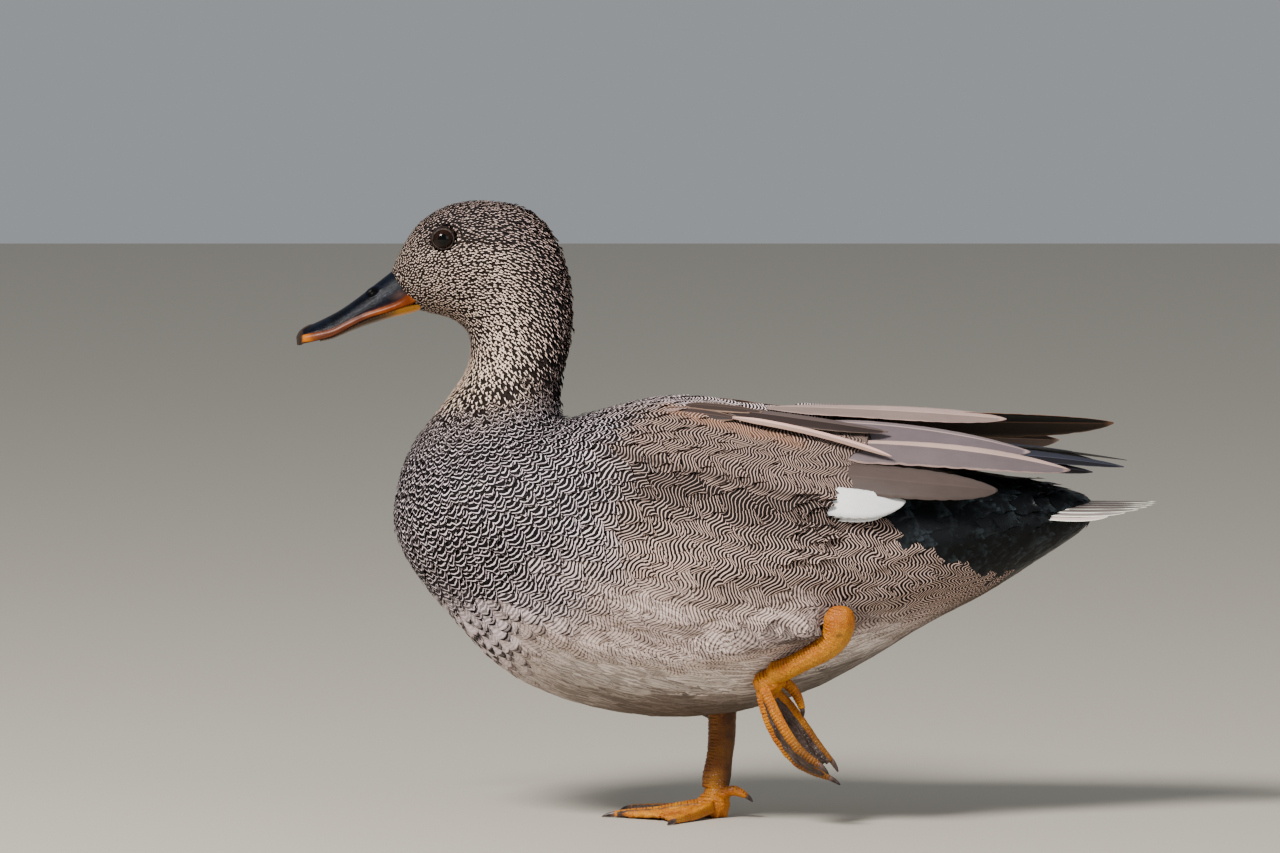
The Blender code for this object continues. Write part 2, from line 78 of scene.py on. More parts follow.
def on_body(points):
    """Station number, angle round from the back (left side positive) and the way to the tail."""
    flat = points[:, [0, 2]]
    ahead = np.einsum("nkd,kd->nk", flat[:, None] - LOWS[None], ONWARDS)
    height = np.einsum("nkd,kd->nk", flat[:, None] - LOWS[None], UPS)
    height = height / np.linalg.norm(TOPS - LOWS, axis=1)
    inside = (ahead[:, :-1] >= 0) & (ahead[:, 1:] < 0)
    offset = np.abs((height[:, :-1] + height[:, 1:]) / 2 - 0.5)
    offset = np.where(inside, offset, FAR)
    first = offset.argmin(1)
    every = np.arange(len(points))
    share = ahead[every, first] / (ahead[every, first] - ahead[every, first + 1])
    lost = ~inside.any(1)
    share = np.where(lost, 0.0, share)
    before = lost & (ahead[:, 0] < 0) & (np.abs(points[:, 0] - BILL_ROOT) < 30)
    first = np.where(lost & ~before, len(STATIONS) - 2, first)
    share = np.where(lost & ~before, 1.0, share)
    station = first + share
    up = UPS[first] * (1 - share)[:, None] + UPS[first + 1] * share[:, None]
    middle = MIDDLES[first] * (1 - share)[:, None] + MIDDLES[first + 1] * share[:, None]
    rise = ((flat - middle) * up).sum(1)
    around = np.degrees(np.arctan2(-points[:, 1], rise))
    onward = np.stack([up[:, 1], np.zeros(len(points)), -up[:, 0]], 1)
    return station, around, onward


def unit(rows):
    return rows / np.maximum(np.linalg.norm(rows, axis=-1, keepdims=True), 1e-9)


def select_only(*pieces):
    bpy.ops.object.select_all(action="DESELECT")
    for piece in pieces:
        piece.select_set(True)
    bpy.context.view_layer.objects.active = pieces[0]


def new_object(name, data):
    made = bpy.data.objects.new(name, data)
    bpy.context.scene.collection.objects.link(made)
    return made


def fused(name, nodes, voxel, passes, extra=()):
    """Copies of CAD nodes, and any extra pieces, made one closed smooth skin."""
    copies = [new_object(node + "_copy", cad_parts[node].data.copy()) for node in nodes]
    copies = [*extra, *copies]
    select_only(*copies)
    bpy.ops.object.join()
    piece = bpy.context.view_layer.objects.active
    piece.name = name
    piece.data.name = name
    piece.data.materials.clear()
    remesh = piece.modifiers.new("fuse", "REMESH")
    remesh.mode = "VOXEL"
    remesh.voxel_size = voxel * MM
    remesh.use_smooth_shade = True
    ease = piece.modifiers.new("ease", "SMOOTH")
    ease.factor = 0.5
    ease.iterations = passes
    for modifier in ("fuse", "ease"):
        bpy.ops.object.modifier_apply(modifier=modifier)
    return piece


def read(rows, label, width, kind=np.float32):
    """One value of every element of a mesh, a row each."""
    flat = np.empty(len(rows) * width, kind)
    rows.foreach_get(label, flat)
    return flat.reshape(-1, width)


def points_of(piece):
    return read(piece.data.vertices, "co", 3).astype(float) / MM


def normals_of(piece):
    return read(piece.data.vertices, "normal", 3).astype(float)


def move_to(piece, points):
    piece.data.vertices.foreach_set("co", (points * MM).astype(np.float32).ravel())
    piece.data.update()


def blend(value, low, high):
    """0 below low, 1 above high, and smooth between."""
    share = np.clip((value - low) / (high - low), 0, 1)
    return share * share * (3 - 2 * share)


def fade(value, low, high):
    """1 below low, 0 above high, and smooth between."""
    return 1 - blend(value, low, high)


# The coat's depth in millimetres at some of the planes.
DEPTH_STATIONS = [0, 1, 3, 5, 7, 9, 13, 14]
DEPTHS = [0.35, 0.7, 1.1, 1.3, 1.8, 2.4, 2.4, 1.6]
skin = fused("skin", FLESH + FOLDED_WING, voxel=2.0, passes=8)
skin_points = points_of(skin)
coat_depth = np.interp(on_body(skin_points)[0], DEPTH_STATIONS, DEPTHS)
move_to(skin, skin_points - normals_of(skin) * coat_depth[:, None])

THROWS = 5.0  # points thrown for each feather that finds room
CLOSEST = 0.92  # the least gap between two feathers, as a share of their spacing


class Hide:
    """A surface that feathers are laid on."""

    def __init__(self, piece):
        self.points = points_of(piece)
        self.normals = normals_of(piece)
        piece.data.calc_loop_triangles()
        self.faces = read(piece.data.loop_triangles, "vertices", 3, np.int32)
        self.tree = BVHTree.FromPolygons(self.points.tolist(), self.faces.tolist())

    def nearest(self, where):
        """The nearest point of the surface to each point, and its smooth normal."""
        hits = [self.tree.find_nearest(point) for point in where.tolist()]
        found = np.array([hit[0][:] for hit in hits])
        face = self.faces[np.array([hit[2] for hit in hits])]
        a, b, c = (self.points[face[:, k]] for k in range(3))
        whole = np.maximum(np.linalg.norm(np.cross(b - a, c - a), axis=1), 1e-9)
        share_a = np.linalg.norm(np.cross(b - found, c - found), axis=1) / whole
        share_b = np.linalg.norm(np.cross(c - found, a - found), axis=1) / whole
        shares = np.stack([share_a, share_b, 1 - share_a - share_b], 1)
        normal = (self.normals[face] * shares[:, :, None]).sum(1)
        return found, unit(normal)

    def scattered(self, spacing, wanted, seed):
        """Points spread evenly over the surface, each about its own spacing from the next."""
        random = np.random.default_rng(seed)
        a, b, c = (self.points[self.faces[:, k]] for k in range(3))
        area = np.linalg.norm(np.cross(b - a, c - a), axis=1) / 2
        centre = (a + b + c) / 3
        share = area / spacing(centre) ** 2 * wanted(centre)
        count = random.poisson(share * THROWS)
        face = np.repeat(np.arange(len(area)), count)
        first = np.sqrt(random.random(len(face)))[:, None]
        second = random.random(len(face))[:, None]
        points = a[face] * (1 - first) + b[face] * first * (1 - second) + c[face] * first * second
        kept = random.random(len(points)) < wanted(points)
        points = points[kept]
        reach = spacing(points) * CLOSEST
        tree = KDTree(len(points))
        for index, point in enumerate(points.tolist()):
            tree.insert(point, index)
        tree.balance()
        taken = np.zeros(len(points), bool)
        chosen = []
        listed = points.tolist()
        for index in random.permutation(len(points)).tolist():
            if taken[index]:
                continue
            chosen.append(index)
            for _, other, _ in tree.find_range(listed[index], reach[index]):
                taken[other] = True
        return points[chosen]


hide = Hide(skin)

# Plumage. Small feathers over all of the skin, smallest on the face, each a thin webbed vane with a
# round tip, rooted in the skin and lying over the roots of those behind it. One vane is modelled
# from a grid and laid many times along the lie of the coat.


def math_node(operation, turned=False):
    """A method that adds one Math node for its number and any others."""

    def method(number, *others):
        values = (*others, number) if turned else (number, *others)
        return number.paint.number(operation, *values)

    return method


class Shade:
    """A number in a material. Arithmetic on it adds Math nodes."""

    __add__, __radd__ = math_node("ADD"), math_node("ADD", True)
    __sub__, __rsub__ = math_node("SUBTRACT"), math_node("SUBTRACT", True)
    __mul__, __rmul__ = math_node("MULTIPLY"), math_node("MULTIPLY", True)
    __truediv__ = math_node("DIVIDE")
    __pow__ = math_node("POWER")
    sine = math_node("SINE")
    size = math_node("ABSOLUTE")
    pingpong = math_node("PINGPONG")
    least = math_node("MINIMUM")
    most = math_node("MAXIMUM")

    def __init__(self, paint, socket):
        self.paint = paint
        self.socket = socket

    def step(self, low, high):
        """0 below low, 1 above high, smooth between."""
        sockets = {"Value": self, "From Min": low, "From Max": high}
        node = self.paint.node("MapRange", sockets, interpolation_type="SMOOTHSTEP")
        return Shade(self.paint, node.outputs["Result"])


class Paint:
    """A material under construction, with one Principled shader."""

    def __init__(self, name, roughness=0.6, **uniform):
        self.material = bpy.data.materials.new(name)
        self.material.use_nodes = True
        self.tree = self.material.node_tree
        self.tree.nodes.clear()
        self.shader = self.tree.nodes.new("ShaderNodeBsdfPrincipled")
        output = self.tree.nodes.new("ShaderNodeOutputMaterial")
        self.tree.links.new(self.shader.outputs["BSDF"], output.inputs["Surface"])
        self.shader.inputs["Roughness"].default_value = roughness
        for label, value in uniform.items():
            self.shader.inputs[label.replace("_", " ")].default_value = value

    def put(self, socket, value):
        if isinstance(value, Shade):
            value = value.socket
        if isinstance(value, bpy.types.NodeSocket):
            self.tree.links.new(value, socket)
        elif socket.type == "RGBA":
            socket.default_value = (*value[:3], 1.0)
        else:
            socket.default_value = value

    def node(self, kind, sockets=None, **settings):
        made = self.tree.nodes.new("ShaderNode" + kind)
        for label, value in settings.items():
            setattr(made, label, value)
        for label, value in (sockets or {}).items():
            self.put(made.inputs[label], value)
        return made

    def number(self, operation, *values):
        node = self.node("Math", dict(enumerate(values)), operation=operation)
        return Shade(self, node.outputs[0])

    def place(self):
        return self.node("TexCoord").outputs["Object"]

    def attribute(self, name):
        return self.node("Attribute", attribute_name=name).outputs["Color"]

    def channels(self, name):
        """The three numbers kept in a colour attribute."""
        node = self.node("SeparateColor", {"Color": self.attribute(name)})
        return [Shade(self, node.outputs[k]) for k in range(3)]

    def uv(self, name):
        return self.apart(self.node("UVMap", uv_map=name).outputs[0])[:2]

    def apart(self, vector):
        node = self.node("SeparateXYZ", {"Vector": vector})
        return [Shade(self, node.outputs[k]) for k in range(3)]

    def vector(self, x, y, z=0.0):
        return self.node("CombineXYZ", {"X": x, "Y": y, "Z": z}).outputs[0]

    def noise(self, where, scale, detail=2.0, roughness=0.5):
        """Values about 0.5 on the given coordinates."""
        sockets = {"Vector": where, "Scale": scale, "Detail": detail, "Roughness": roughness}
        return Shade(self, self.node("TexNoise", sockets).outputs["Fac"])

    def mix(self, share, first, second, way="MIX"):
        node = self.node("Mix", data_type="RGBA", blend_type=way)
        self.put(node.inputs[0], share)
        self.put(node.inputs[6], first)
        self.put(node.inputs[7], second)
        return node.outputs[2]

    def over(self, colour, *layers):
        """A colour under others, each laid on by its share."""
        for share, hue in layers:
            colour = self.mix(share, colour, hue)
        return colour

    def darken(self, colour, value):
        return self.mix(1.0, colour, self.vector(value, value, value), "MULTIPLY")

    def bump(self, height, distance, strength=1.0):
        """Relief of the given height in millimetres at a height value of 1."""
        sockets = {"Height": height, "Distance": distance * MM, "Strength": strength}
        self.put(self.shader.inputs["Normal"], self.node("Bump", sockets).outputs[0])

    def colour(self, value):
        self.put(self.shader.inputs["Base Color"], value)


def tone(red, green, blue):
    """The finish that looks like this colour, 0 to 255, under the studio's strong light."""
    values = np.array([red, green, blue]) / 255
    values = np.where(values < 0.04045, values / 12.92, ((values + 0.055) / 1.055) ** 2.4)
    values = values.mean() + (values - values.mean()) * 0.95
    return tuple(np.clip(0.36 * values / (1 - 0.85 * values.clip(0, 1)), 0.0008, 0.86).tolist())


def dress(piece, paint, slot, *nodes):
    """Gives a finished piece its material and its place in the frame."""
    piece.data.materials.append(paint)
    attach(piece, "root")
    if nodes:
        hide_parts(*nodes)


def mesh_of(name, points, faces):
    """A smooth mesh object from points in millimetres and faces of equal length."""
    mesh = bpy.data.meshes.new(name)
    mesh.vertices.add(len(points))
    mesh.vertices.foreach_set("co", (np.asarray(points) * MM).astype(np.float32).ravel())
    faces = np.asarray(faces, np.int32)
    mesh.loops.add(faces.size)
    mesh.loops.foreach_set("vertex_index", faces.ravel())
    mesh.polygons.add(len(faces))
    starts = np.arange(0, faces.size, faces.shape[1], dtype=np.int32)
    mesh.polygons.foreach_set("loop_start", starts)
    mesh.update(calc_edges=True)
    mesh.polygons.foreach_set("use_smooth", np.ones(len(faces), bool))
    return new_object(name, mesh)


def set_uv(piece, name, rows):
    """A UV map from one row per point of the mesh."""
    corner = read(piece.data.loops, "vertex_index", 1, np.int32)[:, 0]
    layer = piece.data.uv_layers.new(name=name)
    layer.data.foreach_set("uv", np.asarray(rows, np.float32)[corner].ravel())


def set_colour(piece, name, *columns):
    """A colour attribute from three columns, a value per point each."""
    columns = [*columns, np.ones(len(columns[0]))]
    layer = piece.data.attributes.new(name, "FLOAT_COLOR", "POINT")
    layer.data.foreach_set("color", np.stack(columns, 1).astype(np.float32).ravel())


def at_station(station, values):
    """Values given for the numbered planes, read anywhere between them."""
    return np.interp(station, np.arange(len(values)), values)


def wrapped(station, around):
    """Where a place on the body lies on the coat's unwrap, cut open along the belly."""
    way = at_station(station, REACH) / REACH[-1]
    return np.stack([0.03 + 0.94 * way, 0.5 + 0.47 * around / 180], 1)


def vane_pattern(rows, columns):
    """One vane: share along the shaft, share across, and the faces between."""
    bpy.ops.mesh.primitive_grid_add(x_subdivisions=rows - 1, y_subdivisions=columns - 1, size=2)
    grid = bpy.context.active_object
    flat = read(grid.data.vertices, "co", 3)
    faces = np.array([face.vertices[:] for face in grid.data.polygons])
    bpy.data.objects.remove(grid)
    return (flat[:, 0] + 1) / 2, flat[:, 1].astype(float), faces


# What each part of the coat looks like, by station: spacing, length and width of a feather and how
# far its tip stands off the skin, in millimetres, and the distance from bar to bar.
SPACING, LENGTH, WIDTH, LIFT, BAR_GAP = range(1, 6)  # columns after the station
GROWTH = np.array([
    (0.0, 0.80, 2.4, 1.15, 0.35, 1.2),
    (1.0, 0.86, 2.8, 1.25, 0.50, 1.3),
    (2.0, 0.98, 3.6, 1.42, 0.70, 1.4),
    (3.0, 1.06, 4.2, 1.50, 0.85, 1.4),
    (4.0, 1.16, 4.8, 1.72, 1.00, 2.1),
    (5.0, 1.72, 6.5, 2.8, 1.10, 2.5),
    (6.0, 2.70, 9.5, 4.6, 1.15, 2.7),
    (7.0, 3.90, 13.0, 6.6, 1.20, 2.35),
    (8.0, 5.40, 18.0, 9.8, 0.95, 1.72),
    (9.0, 6.40, 22.0, 12.4, 0.80, 1.65),
    (11.0, 6.20, 21.0, 12.4, 0.80, 1.65),
    (13.0, 5.00, 18.0, 10.0, 0.85, 1.6),
    (14.0, 4.20, 15.0, 8.0, 0.80, 1.5),
])


def growth(station, column):
    return np.interp(station, GROWTH[:, 0], GROWTH[:, column])


def spacing_at(points):
    return growth(on_body(points)[0], SPACING)


# The number of bars from the bill's root to each plane, and the body's girth there.
gaps = growth(np.arange(len(STATIONS)), BAR_GAP)
TURNS = np.concatenate([[0], np.cumsum(np.diff(REACH) / (0.5 * (gaps[:-1] + gaps[1:])))])
GIRTH = np.linalg.norm(TOPS - LOWS, axis=1) * 3.0


def hash_of(points):
    """A steady random number, 0 to 1, for each point."""
    value = np.sin(points @ np.array([12.9898, 78.233, 37.719])) * 43758.5453
    return value - np.floor(value)


def drift(points, reach, seed=0.0):
    """Slow wandering values about 0, over distances of the given reach in millimetres."""
    p = points / reach
    value = np.sin(p[:, 0] * 1.7 + 2.1 * np.sin(p[:, 1] * 1.3 + seed) + seed)
    value = value + np.sin(p[:, 1] * 2.3 + 1.7 * np.sin(p[:, 2] * 1.1 + seed * 2) + 1.3)
    return (value + np.sin(p[:, 2] * 1.9 + 1.9 * np.sin(p[:, 0] * 1.2 + seed * 3) + 4.1)) / 3


# The pale and the dark tone of each part of the plumage, laid on in this order.
# The shin groove's tone is painted shade. The belly stain and the underside's tone are partly real
# stain and partly painted shade.
HUES = {
    "head": ((234, 220, 213), (50, 36, 30)),
    "crown": ((220, 207, 202), (42, 34, 33)),
    "throat": ((238, 220, 210), None),
    "breast": ((233, 223, 225), (27, 19, 21)),
    "flank": ((218, 203, 195), (40, 27, 23)),
    "low": ((226, 216, 212), (118, 100, 92)),
    "shoulder": ((206, 188, 178), (44, 30, 26)),
    "mantle": ((232, 222, 222), (56, 44, 43)),
    "coverts": ((132, 116, 108), None),
    "covert bars": (None, (132, 116, 108)),
    "belly": ((228, 223, 220), (140, 124, 114)),
    "thigh": ((118, 100, 92), None),
    "shin_groove_shade": ((84, 70, 62), (84, 70, 62)),
    "belly_stain_and_shade": ((150, 130, 98), None),
    "underside_stain_and_shade": ((96, 80, 62), (96, 80, 62)),
    "rump": ((22, 25, 29), (22, 25, 29)),
}
EYE = np.array([-113.2, 12.3, 232.9])


def toward(rows, hue, share):
    return rows * (1 - share[:, None]) + np.array(tone(*hue)) * share[:, None]


def bump_at(value, middle, reach):
    """1 at the middle, falling off to nearly 0 at twice the reach on both sides."""
    return np.exp(-(((value - middle) / reach) ** 2))


def shoulder_edge(x):
    return 139.8 - 0.235 * (x - 3.0)


def edge_lines(points):
    """The buff fringe of the long shoulder feathers, and a painted shadow line under their lower
    edge.
    """
    x, y, z = points.T
    outer = np.abs(y) > 14
    ends = fade(np.abs(x + 6), 40, 46) * outer
    under = bump_at(z - shoulder_edge(x) + 1.2 + drift(points, 9.0), 0, 1.3) * ends
    fringe = bump_at(z - 159.8 + 0.247 * x + 1.2 * drift(points, 5.0), 0, 2.0)
    return fringe * fade(np.abs(x - 2), 24, 32) * outer, under


def markings(points):
    """Colours and marks of the plumage at each place."""
    station, around, _ = on_body(points)
    x, y, z = points.T
    side = np.abs(around)
    chance = hash_of(points)
    slow = drift(points, 12.0)
    quick = drift(points, 4.0, 2.0)
    crown = fade(side + 12 * slow, 26, 70) * fade(station, 5.2, 6.2)
    crown = crown * blend(station, 0.3, 1.2)
    nape = fade(side, 20, 60) * blend(station, 2.8, 3.6) * fade(station, 5.6, 6.4)
    throat = blend(station, 2.2, 3.6) * blend(side, 72, 125) * fade(station, 4.4, 5.1)
    breast = blend(station + 0.25 * slow, 4.5, 5.5)
    flank = blend(station + 0.010 * (95 - side) * (side < 95) + 0.25 * slow, 7.4, 8.3)
    edge = shoulder_edge(x) + 1.2 * slow
    upper = flank * (z > edge) * (x > -52)
    low = flank * blend(-z - 0.15 * x + 5 * slow, -104, -82)
    belly = flank * blend(-z + 0.05 * x + 5 * slow, -78, -61) * fade(station, 10.2, 11.2)
    foot = blend(station, 7.4, 8.4) * blend(side, 128, 146) * (station < 10.2)
    belly = np.maximum(belly, foot)
    vent = blend(station, 10.5, 11.5) * blend(side, 110, 140)
    rump = 0.516 * x + 0.857 * z + 4 * (chance - 0.5) + 2 * quick > 130.3
    rump = np.where(rump & (x > 46) & (station > 9.5) & (z < 150 - 0.1 * x), 1.0, 0.0)
    plain = upper * blend(x + 6 * slow, 22, 52)
    near_side = y < -15
    # painted shade: a dark band along the groove under the raised thigh, above the hock
    shin_groove_shade = bump_at(x, 13, 25) * bump_at(z - 80.5 + 0.05 * (x - 13) + 1.5 * quick, 0, 3.8)
    # partly real stain, partly painted shade: the underside beneath the body turns dark brown
    under = blend(station, 7.4, 8.6) * blend(side + 10 * slow, 138, 165)
    shares = {
        "crown": np.maximum(crown, nape),
        "throat": throat,
        "breast": breast,
        "flank": flank,
        "low": low,
        "shoulder": upper,
        "mantle": flank * fade(side, 12, 24),
        "coverts": 0.9 * plain,
        "covert bars": 0.8 * plain,
        "belly": belly,
        "thigh": 0.55 * bump_at(x, 28, 17) * bump_at(z, 87, 9) * near_side,
        "shin_groove_shade": 0.85 * shin_groove_shade * near_side,
        # partly real stain, partly painted shade: olive-brown on the lowest belly
        "belly_stain_and_shade": 0.55 * belly * blend(-z + 3 * slow, -56, -47),
        # partly real stain, partly painted shade: dark brown under the body
        "underside_stain_and_shade": 0.75 * under,
        "rump": rump,
    }
    tones = []
    for kind in (0, 1):
        rows = np.tile(tone(*HUES["head"][kind]), (len(points), 1))
        for part, share in shares.items():
            if HUES[part][kind]:
                rows = toward(rows, HUES[part][kind], share)
        tones.append(rows)

    barred = np.where(blend(station + 0.3 * quick, 4.4, 5.3) > chance, 1.0, 0.0)
    arcs = barred * np.where(flank < chance, 1.0, 0.0)
    spot = (1 - barred) * (1 - rump)
    spots_low = barred * (1 - flank) * blend(-z + 6 * slow, -100, -80)
    eye_x, eye_z = x - EYE[0], z - EYE[2]
    behind = bump_at(eye_z + 0.06 * eye_x, 0, 1.7) * blend(eye_x, 4, 6)
    behind = behind * fade(eye_x, 16, 27)
    lores = bump_at(eye_x, -7.6, 2.3) * bump_at(eye_z, -2.6, 1.8)
    cap = np.maximum(crown, 0.6 * blend(z - 0.25 * (x + 113), 237, 243)) * (station < 5.4)
    face = spot * (1 - cap) * (1 - nape)
    high = flank * (1 - np.minimum(1, upper)) * blend(z, 112, 130)
    fore = blend(station, 7.1, 7.8) * fade(station, 8.3, 9.0) * fade(z, 128, 140)
    collar = blend(station, 4.6, 5.2) * fade(station, 5.8, 6.6)
    bar_cover = 0.67 + 0.16 * arcs + 0.22 * high * (1 - arcs) + 0.04 * collar - 0.16 * fore
    bar_cover = bar_cover - 0.32 * low - 0.3 * belly - 0.40 * spots_low
    fleck_cover = 0.11 * cap - 0.06 * nape - 0.08 * face + 0.05 * blend(station, 2.4, 3.2)
    fleck_cover = fleck_cover - 0.36 * throat + 0.20 * (behind + lores)
    fleck_cover = fleck_cover + 0.14 * blend(station, 4.0, 4.8)
    raised = upper * fade(z - edge, 3, 11) * (x < 40)
    return {
        "pale": tones[0],
        "dark": tones[1],
        "bars": barred * (1 - rump) * (1 - 0.9 * belly) * (1 - 0.35 * low),
        "spot": spot,
        "streak": belly * 0.85 + np.maximum(vent * 0.3, 0.6 * low * (1 - belly)),
        "arcs": arcs,
        "gloss": rump,
        "finer": np.where(upper > 0.5, 1.16, 1.0),
        "raised": raised + 3.0 * bump_at(x, 108, 9) * blend(z, 122, 128),
        "zig": flank * (1 - 0.4 * vent),
        "cover": np.where(barred > 0.5, bar_cover, 0.46) + spot * fleck_cover,
        "dots": spots_low,
        "chance": chance,
    }


def mark_piece(piece, marks, length, width, turns, around):
    """Gives a piece the attributes that the plumage material reads, a row per point."""
    set_colour(piece, "pale", *marks["pale"].T)
    set_colour(piece, "dark", *marks["dark"].T)
    set_colour(piece, "marks", marks["bars"], marks["spot"], marks["streak"])
    set_colour(piece, "more", marks["arcs"], marks["gloss"], marks["chance"])
    set_colour(piece, "waves", marks["finer"], marks["zig"], marks["cover"])
    set_colour(piece, "vane_size", length, width, turns)
    set_colour(piece, "round", around / 360 + 0.5, marks["dots"], marks["dots"])


FULL_TURN = 6.2832


def plumage_material(name):
    paint = Paint(name, 0.75, Specular_IOR_Level=0.14)
    along, across = paint.uv("vane")
    bars, spot, streak = paint.channels("marks")
    arcs, gloss, chance = paint.channels("more")
    finer, zig, cover = paint.channels("waves")
    length, width, turns = paint.channels("vane_size")
    around, dots, _ = paint.channels("round")
    place = paint.place()
    side = (across - 0.5).size() * 2
    run = along * length
    out = side * width * 0.5
    broad = paint.noise(place, 40, 1)
    slow = paint.noise(place, 130, 1)
    quick = paint.noise(place, 480, 2)

    # bars: bent to and fro in columns along the flank, and bowed round the tip on the breast
    columns = (around * 30.0 + broad * 1.2).pingpong(0.5) * 2
    columns = columns * columns * (3 - columns * 2)
    bent = columns * 2.3 * zig + slow * 0.7 + quick * 0.24 + chance * 0.08
    wave = ((turns * finer + bent) * FULL_TURN).sine() * 0.5 + 0.5
    bow = turns * 1.05 + side * side * 0.62 + slow + quick * 0.7 + chance * 0.45
    bow = (bow * FULL_TURN).sine() * 0.5 + 0.5
    wave = wave * (1 - arcs) + bow * arcs
    light = wave.step(cover - 0.03, cover + 0.15)

    # flecks: a pale grain at the tip of a dark feather
    grain = ((0.93 - along).most(0) / 0.26) ** 2 + (side / 0.80) ** 2
    grain = (grain + (quick - 0.5) * 1.1 + chance * 0.4 + cover * 2.6).step(1.95, 2.35)
    blot = ((along - 0.84 + side * side * 0.12) / 0.11) ** 2 + (side / 0.85) ** 2
    blot = 1 - (blot + quick * 0.8).step(0.9, 1.7)
    barring = (1 - light) * (1 - dots * 0.85) + blot * dots
    dark = barring * bars + grain * spot

    # streaks: wet barbs drawn out along the feather
    strands = paint.vector(run * 0.05 + slow, out * 0.62 + quick * 0.6, chance * 40)
    hair = paint.noise(strands, 1.9, 3, 0.6)
    dark = dark + (0.56 - hair).step(0.0, 0.10) * streak * 0.75
    colour = paint.mix(dark.least(1), paint.attribute("pale"), paint.attribute("dark"))
    # painted sheen: bluish highlights on the tip half of the black rump feathers
    sheen = gloss * ((along - 0.55) * 2.4).most(0) * (quick + slow).step(0.9, 1.25)
    colour = paint.mix(sheen * 0.85, colour, (0.028, 0.038, 0.044))
    paint.colour(paint.darken(colour, 0.80 + chance * 0.14 + quick * 0.24 + slow * 0.10))
    paint.put(paint.shader.inputs["Roughness"], 0.75 - gloss * 0.35)
    barb = (run * 5.0 - out * 4.0).sine() * 0.5
    paint.bump(barb + quick * 0.6, 0.05, 0.6)
    return paint.material


EXTRA_DOWN = 3.7
LEAST_RISE = 0.05


def belly_depth(points, normals):
    """How much thicker the down under the feathers is, on the breast's foot and the belly."""
    x, _, z = np.moveaxis(points, -1, 0)
    run = blend(x, -118, -84) * fade(x, 92, 135) * fade(z, 95, 120)
    return EXTRA_DOWN * blend(-normals[..., 2], 0.22, 0.86) * run


def lay_vanes(root, normal, lie, length, width, lift, shape, pattern, cling):
    """Vanes on the hide, all sizes in millimetres, one row per vane. Returns points and faces."""
    share, across, faces = pattern
    count = len(root)
    side = unit(np.cross(normal, lie))
    tip = np.clip((share - shape["widest"]) / (1 - shape["widest"]), 0, 1)
    body = np.clip(share / shape["widest"], 0, 1)
    half = (shape["root"] + (1 - shape["root"]) * np.sin(body * math.pi / 2))
    half = half * np.sqrt(np.maximum(1 - tip**2 * (1 - shape["end"] ** 2), 0))
    reach = share * (1 - shape["round"] * across**2 * share**2)
    run = length[:, None] * reach[None]
    out = width[:, None] * 0.5 * (half * across)[None]
    spread = root[:, None] + lie[:, None] * run[:, :, None] + side[:, None] * out[:, :, None]
    found, upward = hide.nearest(spread.reshape(-1, 3))
    found = found.reshape(count, -1, 3)
    upward = upward.reshape(count, -1, 3)
    rise = LEAST_RISE + lift[:, None] * (share**1.25)[None]
    rise = rise - (shape["arch"] * across**2 * share)[None] * width[:, None] * 0.5
    rise = np.maximum(rise, LEAST_RISE) + belly_depth(found, upward)
    held = found + upward * rise[:, :, None]
    free = spread + normal[:, None] * rise[:, :, None]
    hold = cling[:, None, None]
    points = held * hold + free * (1 - hold)
    steps = np.arange(count)[:, None, None] * len(share)
    return points.reshape(-1, 3), (faces[None] + steps).reshape(-1, faces.shape[1])


BUFF = (206, 168, 136)
BODY_VANE = {"widest": 0.60, "root": 0.5, "end": 0.30, "round": 0.20, "arch": 0.05}
FACE_VANE = {"widest": 0.50, "root": 0.6, "end": 0.30, "round": 0.24, "arch": 0.04}
PATCH, BODY_PATCH = 0.003, 0.008


